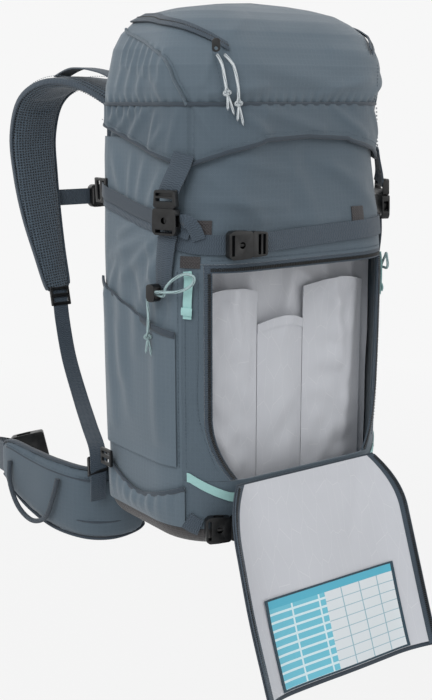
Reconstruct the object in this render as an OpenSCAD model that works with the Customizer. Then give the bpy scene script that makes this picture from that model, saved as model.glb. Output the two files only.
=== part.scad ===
// Ski touring backpack: sewn fabric body, tilting lid, safety compartment with
// a fold-down front flap, padded harness and hip belt. Millimetres.
// Pack coordinates: the base is z = 0, the wearer's back is +Y, the front is -Y.
// hung() moves them so that the origin is the top of the haul loop.

/* [Bag] */
// Width of the bag
bag_w = 287; // [279:1:293]
// Depth of the bag
bag_d = 185; // [181:1:189]
// Height of the sewn body, from the base to its rim
rim_z = 432; // [428:1:434]
// Radius of the two front corners
front_r = 74; // [70:1:76]
// Radius of the two back corners
back_r = 26; // [22:1:30]
// Radius of the rounded base edge
base_r = 30; // [26:1:34]
// How far the stuffed walls swell
bulge = 4; // [3:0.5:5]
// Thickness of the body fabric with its lining
wall = 2; // [1.5:0.1:2.4]
// Height of the dark reinforced base
boot_h = 24; // [20:1:28]

/* [Safety compartment] */
// Height of the flap's hinge line
hinge_z = 78; // [74:1:80]
// Height of the top of the opening
open_z = 308; // [304:1:312]
// Depth of the compartment behind the front wall
safety_d = 46; // [40:1:50]
// Width of the zip tape
zip_w = 9; // [7:0.5:10]
// Angle that the flap hangs at, measured from closed
flap_angle = 160; // [155:1:165]
// Width of the plain card behind the flap's window
card_w = 176; // [160:1:184]
// Height of the card
card_h = 96; // [86:1:104]

/* [Lid] */
// Height of the seam between the lid's top and its skirt
lid_z = 466; // [465:1:470]
// Height of the lid's crown above that seam
crown_h = 103; // [98:1:108]
// Gap between the body and the lid's skirt
skirt_gap = 3.5; // [3:0.1:4]
// Thickness of the skirt
skirt_t = 2; // [1.6:0.1:2.4]

/* [Webbing and buckles] */
// Width of the compression and lid webbing
web_w = 20; // [18:0.5:20]
// Width of the hip belt webbing
belt_web_w = 38; // [34:1:40]
// Thickness of all webbing
web_t = 1.6; // [1.2:0.1:1.8]
// Running clearance between moulded pieces
fit = 0.3; // [0.25:0.05:0.35]

/* [Harness] */
// Width of the shoulder pads
pad_w = 62; // [56:1:66]
// Thickness of the shoulder pads
pad_t = 13; // [11:0.5:14]
// Thickness of the hip belt wings
wing_t = 12; // [10:0.5:13]
// Thickness of the back pads
back_pad_t = 9; // [7:0.5:10]
// Thickness of the stiff yoke plate
yoke_t = 3; // [2:0.5:3.5]

/* [Cords] */
// Diameter of the zip pulls and the tool cords
cord_d = 3; // [2.5:0.1:3.4]

/* [Hidden] */

fabric = "#6d7f8c";
dark_fabric = "#3b4a58";
black = "#1f2123";
lining = "#c2c5cc";
mint = "#9cc5c4";
boot_colour = "#38353a";

bag_h = 465;           // height over which the walls swell
seam = 0.4;            // gap kept along a seam
side_seam_u = 1.66;    // station of the seam between front and side
back_seam_u = 3.6;     // station of the seam between side and back
flat_u = 1;            // station where the front corner starts
open_u = 1.46;         // station of the opening's edge
back_y = bag_d / 2;
haul_y = back_y + 11;
haul_z = 461;
hinge_y = -(bag_d / 2 + bulge * sin(180 * hinge_z / bag_h) + 3.4);

// ---------- helpers ----------

module hung() { translate([0, -haul_y, -haul_z]) children(); }

function clamp01(v) = min(max(v, 0), 1);
function mix(a, b, k) = a + (b - a) * k;
function unit(v) = v / norm(v);

// Smooth curve through hand-set points of any length; k samples per span
function curve_at(p, i, t) =
  let (a = p[max(i - 1, 0)], b = p[i], c = p[i + 1], d = p[min(i + 2, len(p) - 1)])
  b + 0.5 * t * (c - a + t * (2 * a - 5 * b + 4 * c - d + t * (3 * (b - c) + d - a)));
function curve(p, k) = [
  for (i = [0:len(p) - 2]) for (j = [0:k - 1]) curve_at(p, i, j / k),
  p[len(p) - 1]
];
// Points whose y is a distance behind the back of the bag
function behind(p) = [for (q = p) concat([q.x, back_y + q.y, q.z], [for (i = [3:1:len(q) - 1]) q[i]])];
function flip_x(p) = [for (q = p) concat([-q.x], [for (i = [1:len(q) - 1]) q[i]])];

// Closed solid through rings of equal length, each anticlockwise about the travel.
// With hollow, the last ring joins the first, which leaves both ends open.
module loft(rings, hollow = false) {
  n = len(rings[0]);
  m = len(rings);
  function middle(r) = [for (k = [0:n - 1]) 1] * r / n;
  function id(j, i) = (j % m) * n + i % n;
  polyhedron(
    points = concat([for (r = rings) each r], hollow ? [] : [middle(rings[0]), middle(rings[m - 1])]),
    faces = concat(
      [for (j = [0:m - (hollow ? 1 : 2)]) for (i = [0:n - 1])
        each [[id(j, i), id(j + 1, i), id(j + 1, i + 1)], [id(j, i), id(j + 1, i + 1), id(j, i + 1)]]],
      hollow ? [] : [for (i = [0:n - 1])
        each [[m * n, id(0, i), id(0, i + 1)], [m * n + 1, id(m - 1, i + 1), id(m - 1, i)]]]
    ),
    convexity = 8
  );
}

// Sheet with thickness: the outer grid, then the inner one
module slab(pts, nu, nv) {
  n = (nu + 1) * (nv + 1);
  function o(i, j) = j * (nu + 1) + i;
  polyhedron(
    points = pts,
    faces = concat(
      [for (j = [0:nv - 1]) for (i = [0:nu - 1])
        each [[o(i, j), o(i, j + 1), o(i + 1, j + 1)], [o(i, j), o(i + 1, j + 1), o(i + 1, j)],
              [n + o(i, j), n + o(i + 1, j + 1), n + o(i, j + 1)],
              [n + o(i, j), n + o(i + 1, j), n + o(i + 1, j + 1)]]],
      [for (i = [0:nu - 1])
        each [[o(i, 0), o(i + 1, 0), n + o(i + 1, 0)], [o(i, 0), n + o(i + 1, 0), n + o(i, 0)],
              [o(i + 1, nv), o(i, nv), n + o(i, nv)], [o(i + 1, nv), n + o(i, nv), n + o(i + 1, nv)]]],
      [for (j = [0:nv - 1])
        each [[o(0, j + 1), o(0, j), n + o(0, j)], [o(0, j + 1), n + o(0, j), n + o(0, j + 1)],
              [o(nu, j), o(nu, j + 1), n + o(nu, j + 1)], [o(nu, j), n + o(nu, j + 1), n + o(nu, j)]]]
    ),
    convexity = 8
  );
}

// Sweep of an oval or flat section. Each point is [x, y, z, width, thickness];
// across is the direction of the width, and sides 4 gives a flat strap.
function ring_at(p, dir, across, sides) =
  let (a = unit(across - (across * dir) * dir), n = cross(dir, a), c = [p.x, p.y, p.z])
  sides == 4
    ? [for (q = [[1, -1], [1, 1], [-1, 1], [-1, -1]]) c + a * q.x * p[3] / 2 + n * q.y * p[4] / 2]
    : [for (i = [0:sides - 1])
        let (t = 360 * (i + 0.5) / sides, x = cos(t), y = sin(t))
        c + a * sign(x) * pow(abs(x), 0.7) * p[3] / 2 + n * sign(y) * pow(abs(y), 0.7) * p[4] / 2];
function place(p) = [p.x, p.y, p.z];
function heading(p, i) = unit(place(p[min(i + 1, len(p) - 1)]) - place(p[max(i - 1, 0)]));
module sweep(p, across, sides = 4) {
  loft([for (i = [0:len(p) - 1]) ring_at(p[i], heading(p, i), across, sides)]);
}

// ---------- surface of the bag ----------
// Station u runs round the bag: 0 front centre, 1 to 2 front corner, 2 to 3 side,
// 3 to 4 back corner, 5 back centre. Negative stations are on the left (-X).
function inset(h) = h >= base_r ? 0 : base_r - sqrt(base_r * base_r - pow(base_r - h, 2));
function swell(h) = bulge * sin(180 * clamp01(h / bag_h));
function wall_at(s, t, h, off) =
  let (i = inset(h), w = bag_w / 2 - i + swell(h), f = -bag_d / 2 + i - swell(h), b = bag_d / 2 - i,
       rf = front_r - 0.8 * i, rb = back_r - 0.6 * i)
  t <= 1 ? [s * (w - rf) * t, f - off, h] :
  t <= 2 ? let (a = (t - 1) * 90) [s * (w - rf + (rf + off) * sin(a)), f + rf - (rf + off) * cos(a), h] :
  t <= 3 ? [s * (w + off), mix(f + rf, b - rb, t - 2), h] :
  t <= 4 ? let (a = (t - 3) * 90) [s * (w - rb + (rb + off) * cos(a)), b - rb + (rb + off) * sin(a), h] :
           [s * (w - rb) * (5 - t), b + off, h];
function at(u, h, off = 0) =
  u > 5 ? wall_at(-1, 10 - u, h, off) : wall_at(u < 0 ? -1 : 1, abs(u), h, off);
// Turn about Z that makes local -Y the outward normal at station u
function facing(u) =
  let (t = abs(u)) sign(u) * (t <= 1 ? 0 : t <= 2 ? (t - 1) * 90 : t <= 3 ? 90 : 90 + (min(t, 4) - 3) * 90);

// Panel of the bag: f maps [0..1, 0..1] to [station, height]
module panel(f, nu, nv, low, high) {
  slab([for (off = [high, low]) for (j = [0:nv]) for (i = [0:nu])
    let (q = f(i / nu, j / nv)) at(q.x, q.y, off)], nu, nv);
}
// Seats its children on the bag, with local -Y outward and +Z up
module seat(u, h, off) { translate(at(u, h, off)) rotate([0, 0, facing(u)]) children(); }
module both() { children(); mirror([1, 0, 0]) children(); }
// Strip on the bag whose inner face stands rise(a, b) off it
module strip(f, nu, nv, rise, t) {
  slab([for (o = [t, 0]) for (j = [0:nv]) for (i = [0:nu])
    let (q = f(i / nu, j / nv)) at(q.x, q.y, rise(i / nu, j / nv) + o)], nu, nv);
}

ring_stations = concat(
  [0, 0.5], [for (i = [0:6]) 1 + i / 6], [2.5], [for (i = [0:4]) 3 + i / 4], [4.5]
);
bag_ring = concat([-5], [for (i = [len(ring_stations) - 1:-1:1]) -ring_stations[i]], ring_stations);
function bag_loop(h, off, dz = 0) = [for (u = bag_ring) at(u, h, off) + [0, 0, dz]];

// ---------- bag ----------

module base_boot() color(boot_colour) hung() {
  outer = [0, 2, 5, 9, 14, 19, boot_h];
  inner = [boot_h, 14, 8, 4];
  loft(concat([for (h = outer) bag_loop(h, 0)], [for (h = inner) bag_loop(h, -wall)]));
}

module side_panel(s) {
  top = rim_z;
  panel(function(a, b) [mix(s < 0 ? -back_seam_u : side_seam_u + 0.004, s < 0 ? -side_seam_u - 0.004 : back_seam_u, a),
    mix(boot_h + seam, top, b)], 10, 12, -wall, 0);
}
module side_panel_left() color(fabric) hung() side_panel(-1);
module side_panel_right() color(fabric) hung() side_panel(1);

module back_panel() color(dark_fabric) hung()
  panel(function(a, b) [mix(back_seam_u + 0.01, 10 - back_seam_u - 0.01, a),
    mix(boot_h + seam, lid_z - 3, b)], 12, 8, -5, 0);

// Half width of the opening, in stations, narrowing towards the hinge
function open_edge(h) = open_u - 0.24 * pow(1 - clamp01((h - hinge_z) / 70), 2);

module front_upper_panel() color(fabric) hung()
  panel(function(a, b) [mix(-side_seam_u, side_seam_u, a), mix(open_z, rim_z, b)], 20, 5, -wall, 0);

module front_band(s) {
  panel(function(a, b) let (h = mix(hinge_z + seam, open_z - seam, b))
    [s < 0 ? mix(-side_seam_u, -open_edge(h), a) : mix(open_edge(h), side_seam_u, a), h], 3, 12, -wall, 0);
}
module front_bands() color(fabric) hung() for (s = [-1, 1]) front_band(s);

module front_lower_panel() color(fabric) hung()
  panel(function(a, b) [mix(-side_seam_u, side_seam_u, a), mix(boot_h + seam, hinge_z, b)], 20, 3, -wall, 0);

zip_u = zip_w / (front_r * PI / 2);
module opening_zip() color(dark_fabric) hung() {
  for (s = [-1, 1])
    panel(function(a, b) let (h = mix(hinge_z + 1, open_z - zip_w, b), e = open_edge(h))
      [s < 0 ? mix(-e + 0.004, -e + zip_u, a) : mix(e - zip_u, e - 0.004, a), h], 1, 14, -wall, -0.3);
  panel(function(a, b) [mix(-open_u + 0.004, open_u - 0.004, a), mix(open_z - zip_w, open_z - seam, b)],
    18, 1, -wall, -0.3);
}

divider_y = -bag_d / 2 + safety_d;
divider_w = bag_w - 2 * wall - 15;
divider_low = 27;
module compartment_divider() color(lining) hung()
  translate([0, divider_y + wall, 0]) rotate([90, 0, 0])
    linear_extrude(wall) translate([-divider_w / 2, divider_low]) offset(14) offset(-14)
      square([divider_w, rim_z - 28 - divider_low]);

// Sewn tool pockets on the divider: two full sleeves beside a narrow one
sleeve_edges = [-118, -34, 30, 118];
module tool_sleeves() color("#b4b8c0") hung()
  for (k = [0:2]) {
    x0 = sleeve_edges[k] + seam;
    x1 = sleeve_edges[k + 1] - seam;
    top = k == 1 ? 232 : 268;
    nu = 8;
    nv = 6;
    swell_out = function(a, b) 9 * sin(180 * a) * (0.35 + 0.65 * b);
    slab([for (o = [1, 0]) for (j = [0:nv]) for (i = [0:nu])
      let (a = i / nu, b = j / nv)
      [mix(x0, x1, a), divider_y - 0.3 - (o == 1 ? 1.2 : 0) - swell_out(a, b),
       mix(30, top + 8 * sin(180 * a), b)]], nu, nv);
  }

module snow_collar() color("#8b98a3") hung() {
  rows = [rim_z - 24, rim_z - 8, rim_z + 6, rim_z + 16, rim_z + 25];
  draw_in = function(h) -6 - 8 * pow(clamp01((h - rim_z) / 25), 1.4);
  loft(concat([for (h = rows) bag_loop(h, draw_in(h))],
    [for (i = [len(rows) - 1:-1:0]) bag_loop(rows[i], draw_in(rows[i]) - 1.2)]), hollow = true);
}

// ---------- pockets and straps on the bag ----------

module side_pocket(s) {
  function edge(a) = mix(236, 280, pow(a, 1.2));
  panel(function(a, b) let (k = s < 0 ? 1 - a : a)
    [s * mix(1.72, 3.34, k), mix(92, edge(k), b)], 10, 8, 0.3, 2.3);
}
module side_pocket_left() color(fabric) hung() side_pocket(-1);
module side_pocket_right() color(fabric) hung() side_pocket(1);

module lower_pocket(s) {
  function hem(k) = 70 - 22 * sin(180 * clamp01(k * 1.15)) + 4 * k;
  function puff(k, b) = 2.8 + 5 * sin(180 * k) * sin(180 * clamp01(b * 0.9));
  nu = 10;
  nv = 4;
  slab([for (o = [1, 0]) for (j = [0:nv]) for (i = [0:nu])
    let (k = s < 0 ? 1 - i / nu : i / nu, b = j / nv)
    at(s * mix(1.64, 3.3, k), mix(boot_h + 1, hem(k), b), puff(k, b) - (o == 1 ? 0 : 1.6))], nu, nv);
}
module lower_pocket_left() color(fabric) hung() lower_pocket(-1);
module lower_pocket_right() color(fabric) hung() lower_pocket(1);

// Upper compression strap: a sewn band and its sleeve, with a ladder lock at the back
module side_strap(s) {
  panel(function(a, b) let (k = s < 0 ? 1 - a : a)
    [s * mix(1.9, 3.3, k), mix(336, 360, k) + web_w * b], 8, 1, 0.4, 0.4 + 2 * web_t);
  seat(s * 3.42, 372, 4.6) rotate([0, 90, 0]) ladder_lock(web_w);
  // tab at the foot of the bag that carries the shoulder webbing
  anchor_tab = [[-bag_w / 2 + 7.9, back_y - 7.9, 12], [-bag_w / 2, back_y - 4.5, 10], [-bag_w / 2 - 6.5, back_y - 1.1, 9]];
  mirror([s < 0 ? 0 : 1, 0, 0]) sweep(curve([for (q = anchor_tab) concat(q, [web_w, web_t])], 2), [0, 0, 1]);
}
module side_strap_left() color(dark_fabric) hung() side_strap(-1);
module side_strap_right() color(dark_fabric) hung() side_strap(1);

// ---------- moulded hardware ----------
// Frames of thickness t lie in the XZ plane; the webbing runs along Z.
module plate(t) { rotate([90, 0, 0]) linear_extrude(t, center = true) children(); }
module rounded(w, h, r) { offset(r) offset(-r) square([w, h], center = true); }

lock_t = 4;
module ladder_lock(ww) {
  plate(lock_t) difference() {
    rounded(ww + 7, 24, 3);
    translate([0, 5.5]) square([ww + 1, 4], center = true);
    translate([0, -4.5]) square([ww + 1, 6], center = true);
  }
}

function buckle_t(ww) = 5 + ww * 0.2;      // thickness of a side-release buckle
function socket_l(ww) = 8 + ww * 0.95;     // length of its housing
function buckle_w(ww) = ww + 9;

// Housing: mouth at z = 0 facing up, a cavity for the prongs, side windows and a bar
module socket(ww) {
  l = socket_l(ww);
  t = buckle_t(ww);
  w = buckle_w(ww);
  difference() {
    plate(t) translate([0, -l / 2]) offset(2.5) offset(-2.5) polygon([
      [-w / 2 + 1, l / 2], [w / 2 - 1, l / 2], [w / 2, 0], [w / 2, -l / 2 + 4], [w / 2 - 3, -l / 2],
      [-w / 2 + 3, -l / 2], [-w / 2, -l / 2 + 4], [-w / 2, 0]]);
    translate([-ww / 2 - 1, -t / 2 + 1.5, -l + 8]) cube([ww + 2, t - 3, l]);
    translate([-w, -t / 2 + 1.5, -l + 9]) cube([2 * w, t - 3, l * 0.42]);
    translate([-ww / 2 - 0.5, -t, -l + 2.4]) cube([ww + 1, 2 * t, 3.4]);
    translate([0, -t / 2 - 1, -l * 0.45]) rotate([-90, 0, 0]) cylinder(d = ww * 0.34, h = 2.8, $fn = 32);
  }
}
// Frame of the plug, just outside the mouth
module plug_frame(ww) {
  w = buckle_w(ww);
  t = buckle_t(ww) - 1.5;
  plate(t) translate([0, 9 + fit]) difference() {
    offset(2.5) offset(-2.5) polygon([[-w / 2 + 1, -9], [w / 2 - 1, -9], [w / 2 - 2.5, 9], [-w / 2 + 2.5, 9]]);
    translate([0, 4.6]) square([ww + 0.6, 3.2], center = true);
    translate([0, -0.8]) square([ww + 0.6, 3.2], center = true);
  }
}
// Two spring arms and a guide, inside the housing
module prongs(ww) {
  l = socket_l(ww) - 10;
  x = ww / 2 + 0.5;
  plate(buckle_t(ww) - 4) {
    translate([-x + 1, -2]) square([2 * x - 2, 2 + fit]);
    translate([-1.4, -l + 2]) square([2.8, l - 2 + fit]);
    for (s = [0, 1]) mirror([s, 0])
      polygon([[x - 4.5, 0], [x - 1, 0], [x - 1.5, -l * 0.45], [x, -l * 0.62], [x - 1.2, -l], [x - 4.6, -l + 1.5],
        [x - 4, -l * 0.6]]);
  }
}

// ---------- front and base straps ----------

front_strap_z = 328;
front_mouth_u = -1.06;
module front_strap() color(dark_fabric) hung() {
  strap_low = front_strap_z - web_w / 2;
  // from the side seam to the housing, round the left corner
  panel(function(a, b) [mix(-1.88, -1.42, a), strap_low + 14 * pow(1 - a, 1.3) + web_w * b], 6, 1, 1.2, 1.2 + web_t);
  // sewn patch under the strap
  panel(function(a, b) [mix(-1.65, -1.46, a), mix(309, 317.6, b)], 3, 1, 0.6, 1.6);
  // from the plug across the front, to the right-hand seam
  panel(function(a, b) [mix(-0.78, 1.6, a), strap_low + 6 * a + web_w * b], 18, 1, 1.2, 1.2 + web_t);
}
// On the bag, a buckle lies flat with its webbing along the station direction
module front_seat() {
  p = at(front_mouth_u, front_strap_z, 1 + buckle_t(web_w) / 2);
  translate(p) rotate([0, 0, -6]) rotate([0, 90, 0]) children();
}
module front_socket() color(black) hung() front_seat() socket(web_w);
module front_plug() color(black) hung() front_seat() { plug_frame(web_w); prongs(web_w); }

module base_strap() color(dark_fabric) hung() {
  panel(function(a, b) [mix(-1.63, -1.5, a), mix(26, 16, a) + web_w * b], 3, 4, 1.2, 1.2 + web_t);
  panel(function(a, b) [mix(-0.92, 1.6, a), 16 + web_w * b], 18, 4, 1.2, 1.2 + web_t);
}
module base_buckle() color(black) hung()
  seat(-1.24, 27, 1 + buckle_t(web_w) / 2) rotate([0, 90, 0]) { socket(web_w); plug_frame(web_w); prongs(web_w); }

// ---------- lid straps ----------
// Stations and heights of the lid strap, from the skirt down to the body
strap_top = [1.66, 408];
mouth_u = 1.77;
mouth_z = 364;
strap_low = [1.84, 282];
buckle_off = 3.4 + buckle_t(web_w) / 2;
function strap_half(off) = web_w / 2 / (front_r * PI / 2) * front_r / (front_r + off);

module lid_socket(s) {
  seat(s * mouth_u, mouth_z, buckle_off) socket(web_w);
}
module lower_web(s) {
  d = strap_half(1);
  top = mouth_z - socket_l(web_w) + 1;
  strip(function(a, b) [s * (mix(strap_low.x, mouth_u, b) + d * s * (2 * a - 1)), mix(strap_low.y, top, b)],
    2, 6, function(a, b) mix(1, 4, clamp01(2 * b)), web_t);
}
module lid_socket_left() hung() { color(black) lid_socket(-1); color(dark_fabric) lower_web(-1); }
module lid_socket_right() hung() { color(black) lid_socket(1); color(dark_fabric) lower_web(1); }

module lid_strap(s) {
  color(black) seat(s * mouth_u, mouth_z, buckle_off) plug_frame(web_w);
  d = strap_half(6);
  bottom = mouth_z + fit + 12;
  color(dark_fabric) {
    panel(function(a, b) [s * (mix(mouth_u, strap_top.x, b) + d * s * (2 * a - 1)), mix(bottom, strap_top.y - 4, b)],
      2, 3, buckle_off - web_t / 2, buckle_off + web_t / 2);
  }
}
module lid_strap_left() hung() lid_strap(-1);
module lid_strap_right() hung() lid_strap(1);
module lid_prongs(s) { seat(s * mouth_u, mouth_z, buckle_off) prongs(web_w); }
module lid_prongs_left() color(black) hung() lid_prongs(-1);
module lid_prongs_right() color(black) hung() lid_prongs(1);

// ---------- lid ----------
// Rounded outline of the lid at a height: tables of how far its half width, front and back
// stand from those of the bag, and of its corner radii
crown_k = crown_h / 103;
function lid_half(z) = bag_w / 2 + lookup((z - lid_z) / crown_k,
  [[0, 4.5], [18, 7.5], [38, 7.5], [56, 3.5], [72, -3.5], [84, -14.5], [93, -31.5], [99, -55.5], [103, -91.5]]);
function lid_front(z) = -bag_d / 2 + lookup((z - lid_z) / crown_k,
  [[0, -5.5], [18, -8.5], [38, -7.5], [56, -0.5], [72, 11.5], [84, 25.5], [93, 43.5], [99, 63.5], [103, 82.5]]);
function lid_back(z) = bag_d / 2 + lookup((z - lid_z) / crown_k,
  [[0, -2.5], [18, -2.5], [38, -3.5], [56, -5.5], [72, -11.5], [84, -19.5], [93, -31.5], [99, -48.5], [103, -68.5]]);
function lid_r(z) = lookup((z - lid_z) / crown_k, [[0, 76], [38, 76], [84, 60], [99, 34], [103, 14]]);
function lid_wall(s, t, z, off) =
  let (w = lid_half(z), f = lid_front(z), b = lid_back(z), rf = lid_r(z), rb = rf * 0.45)
  t <= 1 ? [s * (w - rf) * t, f - off, z] :
  t <= 2 ? let (a = (t - 1) * 90) [s * (w - rf + (rf + off) * sin(a)), f + rf - (rf + off) * cos(a), z] :
  t <= 3 ? [s * (w + off), mix(f + rf, b - rb, t - 2), z] :
  t <= 4 ? let (a = (t - 3) * 90) [s * (w - rb + (rb + off) * cos(a)), b - rb + (rb + off) * sin(a), z] :
           [s * (w - rb) * (5 - t), b + off, z];
function lid_at(u, z, off = 0) = lid_wall(u < 0 ? -1 : 1, abs(u), z, off);
function lid_loop(z, off = 0) = [for (u = bag_ring) lid_at(u, z, off)];

module lid_crown() color(fabric) hung()
  loft([for (k = [0, 9, 18, 28, 38, 48, 56, 65, 72, 79, 84, 89, 93, 97, 99, 101.5, 103])
    lid_loop(lid_z + 0.4 + (k / 103) * (crown_h - 0.4))]);

function skirt_hem(u) = lookup(abs(u),
  [[0, 432], [0.9, 429], [1.3, 418], [1.6, 406], [1.76, 408], [2.3, 424], [3.05, 444]]);
skirt_end = 3.02;
module lid_skirt() color(fabric) hung()
  panel(function(a, b) let (u = mix(-skirt_end, skirt_end, a)) [u, mix(skirt_hem(u), lid_z, b)],
    40, 3, skirt_gap, skirt_gap + skirt_t);

// The zip of the lid pocket runs from the front corners up and round the back
zip_route = [[-1.25, 517], [-1.45, 530], [-1.75, 541], [-2.3, 548], [-3, 550], [-4, 551], [-5, 551]];
module lid_zip() color(dark_fabric) hung()
  both() {
    p = curve(zip_route, 3);
    n = len(p) - 1;
    slab([for (off = [2.9, 1.9]) for (b = [0, 0.5, 1]) for (i = [0:n])
      lid_at(p[i].x, p[i].y + 8 * b, off)], n, 2);
  }
slider_u = -1.33;
slider_z = 522;
module zip_slider() color(black) hung()
  translate(lid_at(slider_u, slider_z, 4.6)) rotate([0, 0, (slider_u + 1) * 90]) {
    plate(3) difference() {
      rounded(8, 13, 3);
      translate([0, -3]) circle(d = 3.6, $fn = 24);
    }
  }
pull_long = [[-1.36, 514, 5.2], [-1.33, 505, 5.4], [-1.31, 490, 6], [-1.3, 480, 6.5]];
pull_short = [[-1.3, 514, 5.2], [-1.24, 503, 5.4], [-1.21, 485, 6], [-1.21, 470, 7]];
module zip_pulls() color("#dfe8ee") hung() {
  for (route = [pull_long, pull_short]) {
    p = curve(route, 4);
    sweep([for (q = p) concat(lid_at(q.x, q.y, q[2]), [cord_d, cord_d])], [1, 0.3, 0], 8);
    e = route[len(route) - 1];
    translate(lid_at(e.x, e.y - 3, e[2])) sphere(d = 7, $fn = 16);
  }
}

// ---------- flap ----------
// Drawn closed on the bag, then turned about its hinge into the open pose
module opened() { translate([0, hinge_y, hinge_z]) rotate([flap_angle, 0, 0]) translate([0, -hinge_y, -hinge_z]) children(); }
function flap_edge(h) = open_edge(h) - 0.03;
module flap_sheet(inset_u, z0, z1, low, high) {
  panel(function(a, b) let (h = mix(z0, z1, b), e = flap_edge(h) - inset_u) [mix(-e, e, a), h], 18, 12, low, high);
}
module flap_panel() color(dark_fabric) hung() opened()
  flap_sheet(0, hinge_z + 2, open_z - 2, 4, 5.8);
module flap_lining() color(lining) hung() opened()
  flap_sheet(0.09, hinge_z + 4, open_z - 8, 1.9, 3.1);
module flap_zip() color(dark_fabric) hung() opened()
  for (s = [-1, 1])
    panel(function(a, b) let (h = mix(hinge_z + 4, open_z - 8, b), e = flap_edge(h))
      [s < 0 ? mix(-e, -e + 0.085, a) : mix(e - 0.085, e, a), h], 1, 12, 1.6, 3.1);
card_low = 300 - card_h;
module info_card() color("#8fdcec") hung() opened()
  panel(function(a, b) let (e = flat_u + (card_w / 2 - (bag_w / 2 - front_r)) / (front_r * PI / 2))
    [mix(-e, e, a), mix(card_low, card_low + card_h, b)], 14, 2, 0.4, 1);

// ---------- frame and back ----------

module frame_sheet() color("#2c2f33") hung()
  translate([0, back_y - 6.2, 0]) rotate([90, 0, 0]) linear_extrude(1.4)
    translate([-112, 34]) offset(18) offset(-18) square([224, rim_z - 62]);
module frame_stays() color("#aab0b6") hung()
  for (s = [-1, 1]) translate([s * 52, back_y - 9.4, 0]) rotate([90, 0, 0])
    translate([0, 0, -1.5]) linear_extrude(2.4) translate([-6.5, 40]) offset(3) offset(-3) square([13, rim_z - 68]);
yoke_w = 124;           // half width of the yoke plate, at its top
yoke_low_w = 92;        // and at its foot
yoke_low = 398;
yoke_high = 497;
module yoke() color("#2c2f33") hung()
  translate([0, back_y + 0.4 + yoke_t, 0]) rotate([90, 0, 0]) linear_extrude(yoke_t)
    offset(12) offset(-12) polygon([[-yoke_low_w, yoke_low], [yoke_low_w, yoke_low], [yoke_w, yoke_high - 27],
      [yoke_w, yoke_high], [-yoke_w, yoke_high], [-yoke_w, yoke_high - 27]]);

function back_pad_ring(cx, w, z0, z1, d, grow) = [for (i = [0:15])
  let (t = 360 * i / 16, x = cos(t), z = sin(t), e = 0.45)
  [cx + sign(x) * pow(abs(x), e) * (w / 2 - grow), back_y + 0.5 + d, mix(z0, z1, 0.5) + sign(z) * pow(abs(z), e) * ((z1 - z0) / 2 - grow)]];
module cushion(cx, w, z0, z1, t) {
  loft([for (q = [[0, 3], [0.2, 0.6], [0.45, 0], [0.75, 2], [0.93, 6], [1, 13]])
    back_pad_ring(cx, w, z0, z1, q[0] * t, q[1])]);
}
// Two long pads with a ventilation channel between them
module back_pads() color("#4a5865") hung()
  both() {
    cushion(60, 66, 96, 236, back_pad_t);
    cushion(60, 66, 242, 392, back_pad_t);
  }
module lumbar_pad() color("#4a5865") hung() cushion(0, 164, -30, 88, back_pad_t + 4);

haul_route = [[-30, haul_y, 414], [-30, haul_y, 434], [-24, haul_y, 450], [-11, haul_y, 459], [0, haul_y, 461],
  [11, haul_y, 459], [24, haul_y, 450], [30, haul_y, 434], [30, haul_y, 414]];
module haul_loop() color(dark_fabric) hung() {
  p = curve(haul_route, 3);
  sweep([for (q = p) concat(q, [14, 3.6])], [0, 1, 0], 8);
}

// ---------- shoulder harness ----------
// Points are [x, y, z, width, thickness] on the left side
pad_route = behind([[-62, 11.5, 428, pad_w - 8, 9], [-72, 35.5, 462, pad_w, pad_t], [-90, 85.5, 487, pad_w, pad_t],
  [-106, 135.5, 490, pad_w, pad_t], [-116, 179.5, 470, pad_w, pad_t], [-117, 202.5, 428, pad_w, pad_t],
  [-113, 206.5, 378, pad_w - 2, pad_t], [-108, 203.5, 328, pad_w - 8, pad_t], [-103, 194.5, 280, pad_w - 20, pad_t - 1],
  [-99, 184.5, 240, 30, 9]]);
module shoulder_pad(s) {
  p = curve(s < 0 ? pad_route : flip_x(pad_route), 3);
  sweep(p, [s, 0, 0], 12);
}
module shoulder_pad_left() color("#3f4d59") hung() shoulder_pad(-1);
module shoulder_pad_right() color("#3f4d59") hung() shoulder_pad(1);

web_route = behind([[-98, 181.5, 228], [-101, 169.5, 196], [-105, 147.5, 152], [-115, 103.5, 112], [-129, 57.5, 88], [-141, 19.5, 70],
  [-150, 2.5, 44], [-151, 2.1, 15]]);
lifter_route = behind([[-104, 6, 490], [-108, 41.5, 501], [-111, 93.5, 506], [-108, 141.5, 497.6]]);
module shoulder_web(s) {
  p = curve([for (q = s < 0 ? web_route : flip_x(web_route)) concat(place(q), [web_w, web_t])], 3);
  color(dark_fabric) sweep(p, [1, 0, 0]);
  color(black) translate([s * 98, back_y + 179.5, 226.4]) rotate([-14, 0, 0]) ladder_lock(web_w);
}
module load_lifters() hung() both() {
  color(dark_fabric) sweep(curve([for (q = lifter_route) concat(q, [web_w, web_t])], 3), [1, 0, 0]);
  color(black) translate([-104, back_y + yoke_t + 3.4, yoke_high - 11]) ladder_lock(web_w);
}
module shoulder_web_left() hung() shoulder_web(-1);
module shoulder_web_right() hung() shoulder_web(1);

sternum_y = back_y + 210.5;
sternum_z = 348;
sternum_mouth = -7;
module sternum_side() { translate([sternum_mouth, sternum_y, sternum_z]) rotate([0, 90, 0]) children(); }
module sternum_left() hung() {
  color(black) sternum_side() socket(web_w);
  color(dark_fabric) translate([-84, sternum_y - web_t / 2, sternum_z - web_w / 2])
    cube([84 + sternum_mouth - socket_l(web_w) + 2, web_t, web_w]);
}
module sternum_right() hung() {
  color(black) sternum_side() plug_frame(web_w);
  color(dark_fabric) translate([sternum_mouth + 18.6, sternum_y - web_t / 2, sternum_z - web_w / 2])
    cube([84 - sternum_mouth - 18.6, web_t, web_w]);
}
module sternum_prongs() color(black) hung() sternum_side() prongs(web_w);

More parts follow.
